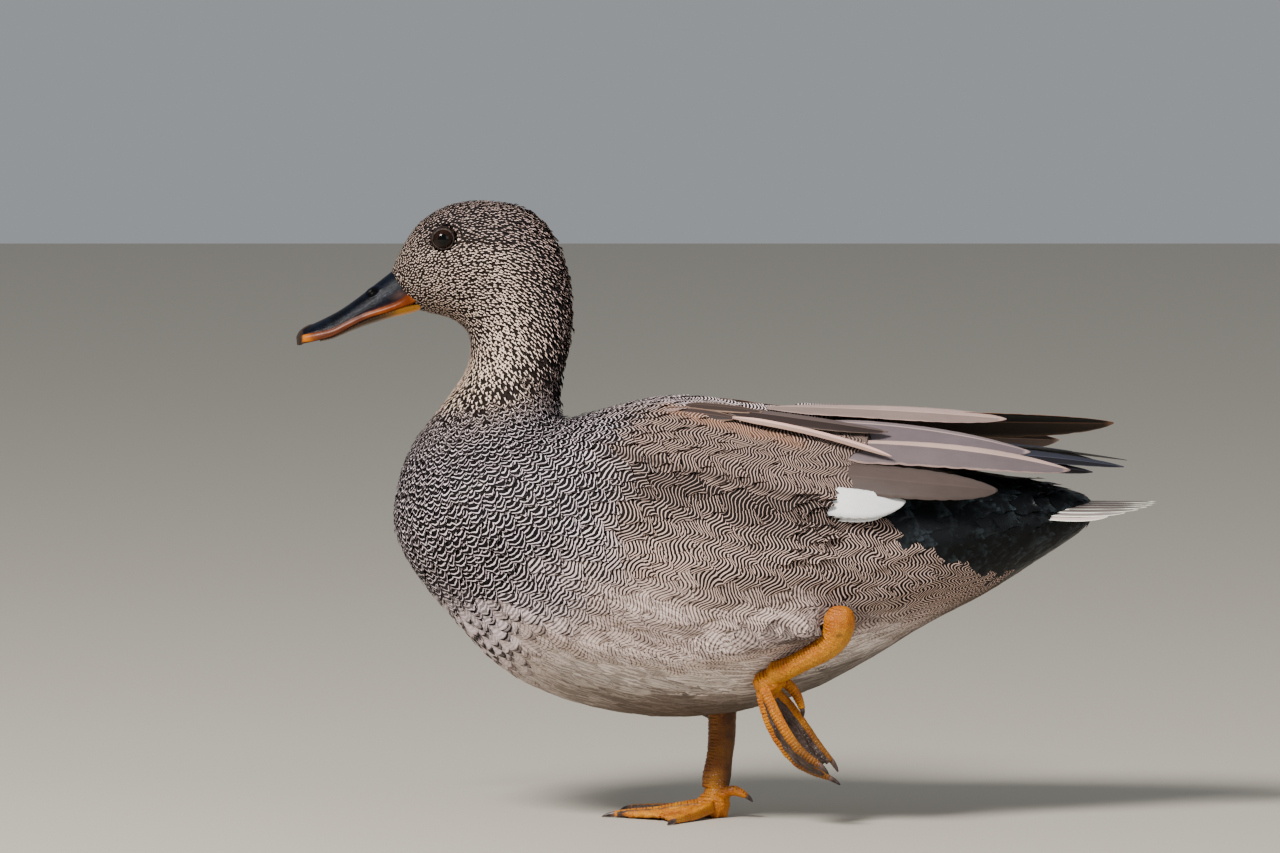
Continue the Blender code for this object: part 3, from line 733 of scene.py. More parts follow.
def coat(name, slot, root, pattern, shape, patch, seed=5, above=0.0, stretch=1.0, slim=1.0):
    """A piece of the coat: feathers at the given roots, with their markings and maps."""
    random = np.random.default_rng(seed)
    found, normal = hide.nearest(root)
    station, around, onward = on_body(found)
    lie = unit(onward - normal * (onward * normal).sum(1)[:, None])
    side = np.cross(normal, lie)
    lie = unit(lie + side * random.normal(0, 0.07, len(root))[:, None])
    size = 1 + random.normal(0, 0.06, len(root))
    length = growth(station, LENGTH) * size * stretch
    width = growth(station, WIDTH) * size * slim * (1 + 0.16 * blend(-normal[:, 2], 0.0, 0.4))
    lift = growth(station, LIFT) * (1 + random.normal(0, 0.10, len(root)))
    nape = fade(np.abs(around), 25, 60) * blend(station, 2.3, 3.2) * fade(station, 5.2, 6.0)
    lift = lift * (1 + nape * random.uniform(0.2, 1.6, len(root)))
    flat = blend(np.abs(around), 95, 125) * blend(station, 6.6, 8.2)
    lift = lift * (1 - 0.8 * flat)
    marks = markings(found)
    lift = lift + above + 0.5 * marks["raised"]
    cling = 1 - 0.55 * nape * random.random(len(root))
    points, faces = lay_vanes(found, normal, lie, length, width, lift, shape, pattern, cling)
    piece = mesh_of(name, points, faces)
    share, across, _ = pattern
    each = len(share)
    set_uv(piece, "vane", np.tile(np.stack([share, across * 0.5 + 0.5], 1), (len(root), 1)))
    home = np.repeat(wrapped(station, around), each, 0)
    patches = np.tile(np.stack([share - 0.5, across * 0.5], 1), (len(root), 1))
    set_uv(piece, "OFBake", home + patches * patch)
    marks = {key: np.repeat(value, each, 0) for key, value in marks.items()}
    fringe, under = edge_lines(points)
    marks["pale"] = toward(marks["pale"], BUFF, 0.5 * fringe)
    # painted shadow: the flank's dark tone laid along the line under the shoulder feathers' lower
    # edge
    marks["pale"] = toward(marks["pale"], HUES["flank"][1], 0.6 * under)
    marks["dark"] = toward(marks["dark"], BUFF, 0.25 * fringe)
    bars_along = (length / growth(station, BAR_GAP))[:, None] * share[None]
    turns = (at_station(station, TURNS)[:, None] + bars_along).reshape(-1)
    swing = (width * 0.5 / at_station(station, GIRTH))[:, None] * across[None] * -360
    around = np.repeat(around, each) + swing.reshape(-1)
    mark_piece(piece, marks, np.repeat(length, each), np.repeat(width, each), turns, around)
    dress(piece, plumage, slot)


plumage = plumage_material("plumage")
skin_points = points_of(skin)
station, around, _ = on_body(skin_points)
every = np.ones(len(skin_points))
set_uv(skin, "vane", np.tile([0.9, 0.5], (len(every), 1)))
set_uv(skin, "OFBake", wrapped(station, around))
turns = at_station(station, TURNS)
mark_piece(skin, markings(skin_points), 12.0 * every, 8.0 * every, turns, around)
dress(skin, plumage, "barred_body_feathers", *FLESH, *FOLDED_WING)

LID_REACH = 5.25


def coat_wanted(points):
    """1 on the whole skin but for the bare lid round each eye."""
    across = np.abs(points[:, 1])
    gap = np.linalg.norm(np.stack([points[:, 0], across, points[:, 2]], 1) - EYE, axis=1)
    return np.where(gap < LID_REACH, 0.0, 1.0)


NECK_END = 5.4  # the station where small head feathers give way to the body's
roots = hide.scattered(spacing_at, coat_wanted, seed=11)
station, around, _ = on_body(roots)
small = station < NECK_END
small_vane = vane_pattern(4, 3)
body_vane = vane_pattern(8, 5)
HEAD_SLOT, BODY_SLOT = "speckled_head_feathers", "barred_body_feathers"
for side, ours in (("left", around >= 0), ("right", around < 0)):
    coat("coat_head_" + side, HEAD_SLOT, roots[small & ours], small_vane, FACE_VANE, PATCH)
for side, ours in (("left", around >= 0), ("right", around < 0)):
    coat("coat_body_" + side, BODY_SLOT, roots[~small & ours], body_vane, BODY_VANE, BODY_PATCH)

# flank feathers that lie over the front of the white patch
column, row = np.meshgrid(np.arange(3), np.arange(6), indexing="ij")
rows_z = 113.5 + 4.6 * row + 2.3 * (column % 2)
flank_rows = np.stack([10.0 + 6.0 * column, np.full(row.shape, -46.0), rows_z], -1).reshape(-1, 3)
for side, turn in (("left", 1), ("right", -1)):
    coat("coat_wing_overlap_" + side, BODY_SLOT, flank_rows * (1, turn, 1), body_vane, BODY_VANE,
         PATCH, above=2.0, slim=0.85)

# loose narrow tips on the nape
shaggy = (np.abs(around) < 40) & (station > 2.2) & (station < 5.2) & (hash_of(roots) < 0.22)
coat("coat_nape_tips", "speckled_neck_feathers", roots[shaggy], small_vane, FACE_VANE, PATCH,
     seed=7, above=0.7, stretch=1.7, slim=0.42)

# Quill feathers of the folded wings. Long stiff webs of grey and brown keratin barbs either side of
# a pale shaft, rooted in the wing's rear edge and stacked like closed fan blades, the innermost on
# top. The left wing lies close, and the right one stands a little higher with its inner edge up.


def through(points, share):
    """A smooth line through three or four points, at each share of the way."""
    points = np.asarray(points, float)
    knots = np.linspace(0, 1, len(points))
    total = 0
    for i, point in enumerate(points):
        weight = 1.0
        for j in range(len(points)):
            if j != i:
                weight = weight * (share - knots[j]) / (knots[i] - knots[j])
        total = total + weight[:, None] * point
    return total


quill_grid = vane_pattern(41, 9)


def quill(shaft, facing, up, down, point, taper, thick, seed):
    """One large feather as a closed thin shell. The shaft's points, the way its upper side faces at
    root and tip, the two webs' widths and how early the tip starts to narrow. Returns points,
    faces, share along, share across and 1 for the upper side."""
    share, across, faces = quill_grid
    random = np.random.default_rng(seed)
    line = through(shaft, share)
    ahead = unit(through(shaft, share + 0.01) - through(shaft, share - 0.01))
    facing = np.asarray(facing, float)
    normal = facing[0] * (1 - share[:, None]) + facing[1] * share[:, None]
    normal = unit(normal - ahead * (normal * ahead).sum(1)[:, None])
    side = np.cross(normal, ahead)
    side = side * np.where(side[:, 2:3].mean() < 0, -1.0, 1.0)
    rise = np.clip(share / 0.2, 0, 1)
    close = np.clip((share - point) / (1 - point), 0, 1)
    half = 0.35 + 0.65 * np.sin(rise * math.pi / 2)
    half = half * np.maximum(1 - close**2.2, 0.012) ** 0.62
    notches = np.abs(np.sin(share * 37 + random.uniform(0, 6))) ** 9
    ragged = 1 - 0.05 * notches * (np.abs(across) > 0.9)
    width = np.where(across > 0, up * (1 - taper * (1 - share) ** 1.5), down) * half * ragged
    sweep = -np.abs(across) ** 1.5 * width * 0.10
    points = line + side * (across * width)[:, None] + ahead * sweep[:, None]
    drop = 0.12 * across**2 * width
    shaft_rise = 0.35 * (1 - share) * np.exp(-((across / 0.12) ** 2))
    top = points + normal * (shaft_rise - drop)[:, None]
    depth = thick * (1 - 0.75 * np.abs(across) ** 2) * (1 - 0.6 * share)
    low = points - normal * (depth + drop)[:, None]
    count = len(share)
    rim = rim_of(faces)
    walls = np.stack([rim[:, 1], rim[:, 0], rim[:, 0] + count, rim[:, 1] + count], 1)
    every = np.concatenate([faces, faces[:, ::-1] + count, walls])
    if np.einsum("ij,ij->i", face_normals(top, faces), normal[faces[:, 0]]).mean() < 0:
        every = every[:, ::-1]
    upper = np.repeat([1.0, 0.0], count)
    return np.concatenate([top, low]), every, np.tile(share, 2), np.tile(across, 2), upper


def rim_of(faces):
    edges = np.concatenate([faces[:, [k, (k + 1) % 4]] for k in range(4)])
    key = np.sort(edges, 1)
    _, first, times = np.unique(key, axis=0, return_index=True, return_counts=True)
    return edges[first[times == 1]]


def face_normals(points, faces):
    a = points[faces[:, 1]] - points[faces[:, 0]]
    b = points[faces[:, 2]] - points[faces[:, 0]]
    return np.cross(a, b)


def quill_material(name, roughness):
    """Webs coloured from their attributes, with barbs, a pale shaft and a rim."""
    paint = Paint(name, roughness, Specular_IOR_Level=0.25)
    along, across = paint.uv("vane")
    out = (across - 0.5) * 2
    length, width, chance = paint.channels("vane_size")
    rim, rim_width, shaft = paint.channels("marks")
    rim_colour = paint.attribute("rim_colour")
    slow = paint.noise(paint.place(), 60, 2)
    barbs = paint.vector(along * length * 0.03, out * 0.5, chance * 30)
    fine = paint.noise(barbs, 5, 4, 0.6)
    above = (out + 0.02).step(-0.05, 0.05)
    web = paint.mix(above, paint.attribute("web_low"), paint.attribute("web_up"))
    edge = (out.size() + (fine - 0.5) * 0.12).step(1 - rim_width * 2.2, 1 - rim_width * 0.6)
    edge = edge.most((along + (fine - 0.5) * 0.02).step(0.955, 0.995)) * rim
    colour = paint.mix(edge, web, rim_colour)
    colour = paint.mix((1 - out.size().step(0.025, 0.06)) * shaft, colour, rim_colour)
    barb = ((along * length - out.size() * width * 0.35) * 9.0 + fine * 4.0).sine() * 0.5 + 0.5
    shade = 0.92 + (barb - 0.5) * 0.10 + (fine - 0.5) * 0.30 + (slow - 0.5) * 0.22
    paint.colour(paint.darken(colour, shade))
    paint.bump(barb * 0.6 + fine * 0.8, 0.06, 0.7)
    return paint.material


quill_paint = quill_material("quill_webs", 0.5)
PLAIN_QUILL = {"rim": 0.6, "rim_width": 0.06, "shaft": 0.6, "taper": 0.0, "under": None}
CREAM = (226, 208, 200)
UMBER = (96, 76, 66)
SOOT = (24, 18, 18)
WHITE = (238, 238, 242)
SLATE = (72, 74, 88)
SLATE_DARK = (44, 42, 50)
PINK_WHITE = (228, 208, 200)
FAWN = (126, 110, 102)
RUST = (178, 152, 132)


def quills(name, rows, slot, *nodes, thick=0.5):
    """A group of large feathers as one piece. Each row gives the shaft's points, the facing at root
    and tip, (web above, web below, where the tip starts), the tones of the two webs and the rim,
    and what departs from a plain quill."""
    gathered = [[] for _ in range(6)]
    first = 0
    for k, (shaft, facing, (up, down, point), over, own) in enumerate(rows):
        own = {**PLAIN_QUILL, **own}
        made = quill(shaft, facing, up, down, point, own["taper"], thick, seed=k)
        flat, faces, share, out, upper = made
        length = np.linalg.norm(np.subtract(shaft[-1], shaft[0]))
        size = (length, up + down, (k * 0.37) % 1)
        marks = (own["rim"], own["rim_width"], own["shaft"])
        under = own["under"] or (UMBER, UMBER, over[2])
        over, under = (np.array([tone(*hue) for hue in hues])[None] for hues in (over, under))
        strip = (k + 0.25 + 0.5 * (1 - upper) + 0.2 * out) / len(rows)
        fresh = (
            flat,
            faces + first,
            np.stack([share, out * 0.5 + 0.5], 1),
            np.stack([0.02 + 0.96 * share, strip], 1),
            np.tile([size, marks], (len(flat), 1, 1)),
            np.where(upper[:, None, None] > 0, over, under),
        )
        for rows_so_far, more in zip(gathered, fresh):
            rows_so_far.append(more)
        first += len(flat)
    points, faces, vane, baked, numbers, hues = (np.concatenate(rows) for rows in gathered)
    piece = mesh_of(name, points, faces)
    set_uv(piece, "vane", vane)
    set_uv(piece, "OFBake", baked)
    for label, columns in (
        ("vane_size", numbers[:, 0]),
        ("marks", numbers[:, 1]),
        ("web_up", hues[:, 0]),
        ("web_low", hues[:, 1]),
        ("rim_colour", hues[:, 2]),
    ):
        set_colour(piece, label, *columns.T)
    dress(piece, quill_paint, slot, *nodes)


def mirrored(rows):
    """The same feathers on the other side."""
    across = np.array([1.0, -1.0, 1.0])
    return [(np.array(shaft) * across, np.array(facing) * across, *rest)
            for shaft, facing, *rest in rows]


OUT = (0.0, -0.72, 0.70)
HIGH = (0.1, -0.5, 0.86)
LOW = (0.1, -0.85, 0.5)
UP_RIGHT = (0.0, 0.55, 0.83)
TERTIALS = {
    "left": [
        ([(28, -36.6, 141.4), (74, -44.2, 138.0), (107.4, -38.0, 134.4)],
         [(0.1, -0.71, 0.70), (0.1, -0.72, 0.68)], (8.0, 8.4, 0.36),
         [(122, 106, 100), (116, 100, 94), (140, 124, 116)], {"rim": 0.35, "shaft": 0.25}),
        ([(36, -28.8, 152.9), (90, -25.8, 149.8), (136.8, -18.6, 141.0)],
         [OUT, HIGH], (4.6, 10.4, 0.40),
         [(212, 194, 186), (150, 136, 139), CREAM], {"taper": 0.9, "rim": 0.4, "shaft": 0.5}),
        ([(38, -16, 160.1), (82, -16.0, 156.4), (121, -14.2, 148.0)],
         [HIGH, HIGH], (2.6, 10.5, 0.42),
         [(168, 154, 156), (150, 136, 141), (222, 208, 202)], {"rim": 0.7, "rim_width": 0.035}),
    ],
    "right": [
        ([(46, 44, 143.0), (72, 45, 138.0), (94, 43.6, 133.4)],
         [(0.1, 0.85, 0.5), (0.1, 0.72, 0.68)], (8.0, 7.0, 0.62),
         [FAWN, (134, 117, 107), (168, 150, 138)], {"rim": 0.5}),
        ([(44, 34, 152.6), (92, 31.5, 151.2), (133.5, 27.4, 149.8)],
         [(0, 0.72, 0.7), (0.1, 0.6, 0.8)], (7.6, 9.5, 0.52),
         [CREAM, (148, 134, 134), CREAM], {"under": [UMBER, (178, 160, 150), CREAM]}),
        # painted shade: the two topmost right tertials have near black and dark brown undersides,
        # standing in for the shade on their inner sides
        ([(44, 19, 160.0), (102, 18.6, 158.0), (155, 14, 157.6)],
         [UP_RIGHT, UP_RIGHT], (8.6, 11.0, 0.46),
         [(176, 160, 158), (150, 136, 138), (214, 190, 170)],
         {"rim": 0.5, "under": [SOOT, (104, 84, 70), (206, 170, 140)]}),
        ([(16, 4, 164.6), (66, 8, 162.8), (112, 9.5, 159.4)],
         [(0, -0.2, 0.98), (0, -0.6, 0.8)], (5.4, 6.2, 0.42),
         [(204, 186, 180), (178, 160, 154), (222, 204, 196)],
         {"rim_width": 0.04, "under": [SOOT, SOOT, SOOT]}),
    ],
}
# the three longest quills that show at the wing's point: shaft, facing and web below
PRIMARIES = {
    "left": [
        ([(76, -9, 148.2), (118, -8.5, 146.2), (158.6, -4.4, 141.2)], [HIGH, (0, -0.5, 0.86)], 4.2),
        ([(76, -11, 146.4), (112, -11.5, 143.6), (146, -8.4, 139.4)], [HIGH, (0, -0.6, 0.8)], 4.4),
        ([(76, -4, 149.6), (110, -3.5, 148.0), (140, -2.5, 144.4)], [(0, -0.3, 0.95)] * 2, 4.4),
    ],
    "right": [
        ([(76, 7, 151.6), (120, 6, 148.6), (160.2, 5, 143.2)], [(0, 0.2, 0.98)] * 2, 4.6),
        ([(76, 10, 150.4), (114, 10, 147.8), (146, 9, 143.4)], [(0, 0.5, 0.86)] * 2, 4.4),
        ([(76, 4, 152.2), (110, 3.5, 150.2), (138, 2.6, 147.0)], [(0, 0.1, 1)] * 2, 4.4),
    ],
}
SLATE_WEBS = [SLATE, SLATE_DARK, (120, 122, 140)]
DARK_WEBS = [SLATE_DARK, SOOT, (98, 92, 100)]
PRIMARY_LOOKS = [(5.0, 0.30, SLATE_WEBS), (4.6, 0.35, DARK_WEBS), (5.0, 0.35, SLATE_WEBS)]
primary_own = {"rim": 0.5, "under": [SLATE_DARK, SOOT, SLATE]}
white_patch = [
    ([(32, y, z), (50, -49.2, middle_z), tip], [LOW, LOW], (4, down, point), [WHITE] * 3,
     {"rim": 0.2, "shaft": 0})
    for y, z, middle_z, tip, down, point in (
        (-44.6, 128.6, 127.0, (63.0, -48.4, 126.6), 5.0, 0.42),
        (-44.4, 131.4, 129.6, (67.5, -47.8, 128.4), 6.6, 0.42),
        (-44.0, 134.4, 132.4, (70.6, -46.8, 130.6), 9.0, 0.46),
    )
]
rusty = {"rim": 1.0, "rim_width": 0.16, "shaft": 0.3}
shoulder = [
    ([(2, -25.5, 162.4), (34, -31.5, 156.8), (65.6, -35.2, 147.4)], [OUT, OUT], (1.7, 1.5, 0.72),
     [PINK_WHITE, (196, 172, 158), PINK_WHITE], {"rim": 0.2, "shaft": 0}),
    ([(0, -20, 165.2), (32, -25, 161.4), (64, -23.5, 156.6)], [HIGH, HIGH], (3.4, 5.2, 0.35),
     [(132, 115, 112), (80, 64, 60), (186, 166, 152)], {"rim_width": 0.05, "shaft": 0.2}),
    ([(-26, -21, 165.0), (-12, -23, 164.0), (4, -25, 162.0)], [OUT, OUT], (3.0, 3.4, 0.4),
     [(96, 78, 74), (84, 66, 62), RUST], rusty),
    ([(-16, -17, 167.0), (-2, -19.5, 166.2), (14, -22, 164.4)], [HIGH, HIGH], (2.8, 3.2, 0.4),
     [(104, 86, 80), (90, 72, 66), RUST], rusty),
]
for side in ("left", "right"):
    primaries = [
        (shaft, facing, (up, down, point), webs, primary_own)
        for (shaft, facing, down), (up, point, webs) in zip(PRIMARIES[side], PRIMARY_LOOKS)
    ]
    if side == "right":
        white_patch, shoulder = mirrored(white_patch), mirrored(shoulder)
    tertials = TERTIALS[side]
    quills(f"tertials_{side}_quills", tertials, "silver_tertials", "tertials_" + side)
    quills(f"primaries_{side}_quills", primaries, "slate_primaries", "primaries_" + side)
    quills(f"speculum_{side}_quills", white_patch, "grey_wing_feathers", thick=0.15)
    quills(f"scapulars_{side}_quills", shoulder, "buff_scapulars")

# Tail. Fourteen stiff grey-brown quills with pale edges, the outermost nearly white, fanned from
# the rump and layered with the middle pair on top.
TAIL_UNDER = [(170, 156, 148), (170, 156, 148), (220, 210, 200)]
tail_own = {"rim": 1.0, "rim_width": 0.17, "under": TAIL_UNDER}
tail_rows = []
for level, k in enumerate(sorted(range(14), key=lambda k: -abs(k - 6.5))):
    a = (k - 6.5) / 6.5
    arch = abs(a) ** 2.6
    pale = abs(a) ** 3
    web = (112 + 110 * pale, 98 + 114 * pale, 96 + 112 * pale)
    shaft = [(112, -9 * a, 126.6 - 2.4 * arch), (136, -20 * a, 126.6 - 4.0 * arch),
             (171.6 - 20 * arch, -26.4 * a, 126.4 - 2.6 * arch)]
    shaft = [(x, y, z + 0.12 * level - 0.9) for x, y, z in shaft]
    facing = [(0, -0.25 * a, 1), (0, -0.35 * a, 1)]
    size = (4.2 - 1.4 * arch, 4.2 - 1.4 * arch, 0.45)
    tail_rows.append((shaft, facing, size, [web, web, (240, 230, 224)], tail_own))
quills("tail_quills", tail_rows, "pale_tail_feathers", "tail")

# Bill. Two mandibles of horn under a thin leathery skin, slate blue-black above with an orange and
# brown lip along the edge, a raised dark nail hooked over the tip and an open nostril either side.


def spline(rows, places):
    """Smooth values of a table's columns at the given row places."""
    rows = np.asarray(rows, float)
    padded = np.concatenate([rows[:1] * 2 - rows[1:2], rows, rows[-1:] * 2 - rows[-2:-1]])
    first = np.clip(places.astype(int), 0, len(rows) - 2)
    t = (places - first)[:, None]
    a, b, c, d = (padded[first + k] for k in range(4))
    return b + 0.5 * t * (c - a + t * (2 * a - 5 * b + 4 * c - d + t * (3 * (b - c) + d - a)))


def band_faces(rings, count, closed=False):
    """Faces of a band of so many rings of so many points, closed on itself or open."""
    steps = np.arange(rings if closed else rings - 1)
    ring, point = np.meshgrid(steps, np.arange(count), indexing="ij")
    beside = (point + 1) % count
    here, after = ring * count, (ring + 1) % rings * count
    return np.stack([here + point, here + beside, after + beside, after + point], -1).reshape(-1, 4)


def tube_faces(rings, count):
    """Faces of a closed tube, with a cap on each end."""
    k = np.arange(count // 2 - 1)
    cap = np.stack([k, (count - 1 - k) % count, count - 2 - k, k + 1], 1)
    return np.concatenate([band_faces(rings, count), cap, cap[:, ::-1] + (rings - 1) * count])


def tidy_shell(piece):
    """Merges doubled points and turns every face outwards."""
    select_only(piece)
    bpy.ops.object.mode_set(mode="EDIT")
    bpy.ops.mesh.select_all(action="SELECT")
    bpy.ops.mesh.remove_doubles(threshold=0.00001)
    bpy.ops.mesh.normals_make_consistent(inside=False)
    bpy.ops.object.mode_set(mode="OBJECT")


UPPER_BILL = [
    (-132.9, 219.8, -124.2, 207.6, 8.8),
    (-135.1, 218.2, -126.6, 206.2, 8.6),
    (-141.0, 213.6, -134.5, 203.6, 8.2),
    (-148.0, 208.2, -143.0, 201.0, 7.8),
    (-154.5, 203.7, -150.5, 197.4, 7.9),
    (-161.0, 200.2, -157.0, 193.8, 8.4),
    (-167.0, 197.4, -164.5, 191.8, 8.0),
    (-170.6, 195.5, -169.8, 190.6, 5.6),
    (-172.1, 193.2, -171.8, 190.5, 2.0),
]
LOWER_BILL = [
    (-123.0, 206.4, -121.4, 204.4, 7.0),
    (-127.0, 205.8, -125.0, 202.8, 7.2),
    (-135.0, 203.4, -134.8, 200.4, 7.1),
    (-143.0, 200.6, -143.0, 197.9, 6.9),
    (-150.5, 197.0, -150.5, 195.1, 6.7),
    (-157.5, 193.4, -157.5, 192.2, 6.7),
    (-162.6, 192.0, -162.8, 191.0, 5.4),
]


def mandible(rows, ridge, rings, count):
    """A dome over a hollowed flat side, its rings crowded towards the tip."""
    places = (len(rows) - 1) * np.linspace(0, 1, rings) ** 0.85
    top_x, top_z, low_x, low_z, wide = spline(rows, places).T
    turn = np.linspace(-0.5, 0.5, count * 2 // 3) * math.pi
    flat = np.linspace(0.98, -0.98, count - len(turn) + 2)[1:-1]
    sine = np.concatenate([np.sin(turn), flat])
    rise = np.concatenate([np.maximum(np.cos(turn), 0) ** 0.85, np.zeros(len(flat))])
    share = 1 - rise if ridge > 0 else rise
    x = top_x[:, None] * (1 - share) + low_x[:, None] * share
    z = top_z[:, None] * (1 - share) + low_z[:, None] * share
    y = wide[:, None] * sine[None]
    hollow = np.concatenate([np.zeros(len(turn)), 0.9 * (1 - flat**2)])
    z = z + ridge * hollow[None] * np.minimum(1, (top_z - low_z) / 4)[:, None]
    along = np.broadcast_to(np.linspace(0, 1, rings)[:, None], x.shape)
    down = np.concatenate([np.abs(turn) / (math.pi / 2), np.full(len(flat), 1.2)])
    return np.stack([x, y, z], -1), along, np.broadcast_to(down[None], x.shape)


def horn_shell(name, points, along, down, *marks):
    """A mandible's closed piece, with its map and its marks."""
    piece = mesh_of(name, points.reshape(-1, 3), tube_faces(*down.shape))
    set_uv(piece, "vane", np.stack([along.ravel(), np.minimum(down, 1.0).ravel()], 1))
    set_colour(piece, "marks", *(mark.ravel() for mark in marks))
    tidy_shell(piece)
    return piece


points, along, down = mandible(UPPER_BILL, 1, 110, 108)
out = unit(points - points.mean(1, keepdims=True))
upper = down <= 1
border = 0.89 - 0.08 * blend(along, 0.2, 0.5) - 0.19 * blend(along, 0.45, 0.85)
border = border + 0.1 * fade(along, 0.05, 0.16)
centre = (border + 1) / 2
spread = np.maximum((1 - border) * 0.55, 0.03)
lip = 0.42 * bump_at(down, centre, spread) - 0.22 * bump_at(down, border, 0.035)
lip = lip - 0.10 * bump_at(down, centre, spread * 0.3)
swell = lip * blend(along, 0.06, 0.16) * fade(along, 0.9, 1.0) * upper
side = np.abs(points[..., 1])
ahead = -points[..., 0]
nail = blend(ahead, 165.4, 167.0) * blend(2.9 - side, 0, 0.6) * upper
nail = np.maximum(nail, blend(ahead, 168.9, 170.1) * upper)
swell = swell + 0.40 * nail
nostril_x = points[..., 0] + 141.6
nostril_z = points[..., 2] - 210.9
slot_along = nostril_x * 0.83 + nostril_z * 0.56
slot_across = nostril_z * 0.83 - nostril_x * 0.56
slot = np.sqrt((slot_along / 2.7) ** 2 + (slot_across / 1.35) ** 2)
swell = swell - 1.3 * fade(slot, 0.5, 1.0) * upper
swell = swell + 0.30 * bump_at(slot, 1.16, 0.18) * upper
points = points + out * swell[..., None]
points[..., 2] -= 0.5 * nail * blend(-points[..., 0], 168.0, 172.0)
# painted shade: the nostril's opening is marked to be painted near black, for the hollow inside it
opening = fade(slot, 0.85, 1.05)
bill_upper = horn_shell("bill_upper_horn", points, along, down, nail, opening, down > 1)

horn = Paint("slate_horn", 0.32, Specular_IOR_Level=0.07)
along, down = horn.uv("vane")
nail, slot, inside = horn.channels("marks")
place = horn.place()
soft = horn.noise(place, 170, 3)
fine = horn.noise(place, 1000, 2)
streaks = horn.noise(horn.vector(along * 3, down * 24, 0.3), 3, 3)
border = 0.89 - along.step(0.2, 0.5) * 0.08 - along.step(0.45, 0.85) * 0.19
border = border - (1 - along.step(0.05, 0.16)) * 0.05
edge = down - border + (soft - 0.5) * 0.07 + (streaks - 0.5) * 0.05


def horn_spot(along_at, along_fall, down_at, down_fall):
    """A soft spot on the horn that fades by these falls from its middle."""
    near = (1 - (along - along_at).size() * along_fall).most(0)
    return near * (1 - (down - down_at).size() * down_fall).most(0)


# painted highlights: pale blue specks on the slate round and below the nostril
painted_highlight_specks = ((fine - 0.5) * 3.4 + horn_spot(0.20, 4.5, 0.66, 5) * 0.9).step(0.8, 1.1)
slate = horn.over(
    horn.mix(soft.step(0.35, 0.7), (0.0012, 0.0018, 0.004), (0.003, 0.0045, 0.010)),
    (painted_highlight_specks * 0.3, (0.045, 0.052, 0.08)),
    (horn_spot(0.10, 14, 0.80, 8) * 0.8, (0.070, 0.040, 0.036)),
    ((1 - edge.size() * 14).most(0) * 0.5, (0.050, 0.016, 0.012)),
)
tip = along.step(0.66, 0.80)
waist = (1 - (along - 0.50).size() * 3.4).most(0)
# painted highlight: the ridge mask lays a pale pink line along the lip's ridge
ridge = (1 - ((down - border) / (1.02 - border) - 0.34).size() * 9).most(0)
ridge = ridge * along.step(0.06, 0.2) * (1 - along.step(0.7, 0.85))
orange = horn.over(
    horn.mix(soft.step(0.3, 0.7), (0.12, 0.022, 0.003), (0.27, 0.060, 0.006)),
    (tip * 0.8, (0.48, 0.145, 0.004)),
    (waist.step(0, 0.5) * 0.55, (0.085, 0.032, 0.020)),
    (waist * (streaks - 0.34).step(0, 0.22) * 0.85, (0.052, 0.017, 0.010)),
    ((streaks - 0.52).step(0, 0.16) * 0.4 * (1 - tip), (0.05, 0.014, 0.006)),
    (ridge * (soft.step(0.25, 0.6) * 0.4 + 0.2), (0.52, 0.30, 0.26)),
)
mottle = (soft + (down - 0.94) * 5).step(0.55, 0.75) * along.step(0.5, 0.6)
horn.colour(horn.over(
    slate,
    (edge.step(-0.02, 0.03), orange),
    (mottle * 0.85, (0.012, 0.008, 0.006)),
    (nail, horn.mix(fine, (0.008, 0.006, 0.006), (0.050, 0.030, 0.020))),
    # painted shade: near black in the nostril's opening
    (slot, (0.0012, 0.0012, 0.0015)),
    (inside, (0.16, 0.06, 0.035)),
))
horn.bump(soft * 0.6 + fine * 0.4 + streaks * 0.8, 0.12, 0.8)
dress(bill_upper, horn.material, "slate_bill", "bill_upper")

points, along, down = mandible(LOWER_BILL, -1, 120, 72)
teeth = 0.16 * np.sin(points[..., 0] * 2 * math.pi / 1.25)
teeth = teeth * fade(np.abs(down - 0.94), 0.05, 0.14)
out = unit(points - points.mean(1, keepdims=True))
points = points + out * (teeth * blend(along, 0.2, 0.35))[..., None]
bill_lower = horn_shell("bill_lower_horn", points, along, down, *[teeth * 3 + 0.5] * 3)
gape = Paint("orange_lower_horn", 0.36, Specular_IOR_Level=0.35)
along, down = gape.uv("vane")
teeth, _, _ = gape.channels("marks")
soft = gape.noise(gape.place(), 220, 3)
base = 1 - (along + (soft - 0.5) * 0.2).step(0.20, 0.36)
dusky = gape.mix(soft, (0.030, 0.015, 0.006), (0.11, 0.055, 0.02))
colour = gape.mix(base, dusky, (0.46, 0.19, 0.006))
colour = gape.mix((1 - teeth.step(0.2, 0.5)) * (1 - base) * 0.8, colour, (0.008, 0.006, 0.005))
gape.colour(colour)
gape.bump(soft, 0.12, 0.7)
dress(bill_lower, gape.material, "orange_bill_edge", "bill_lower")

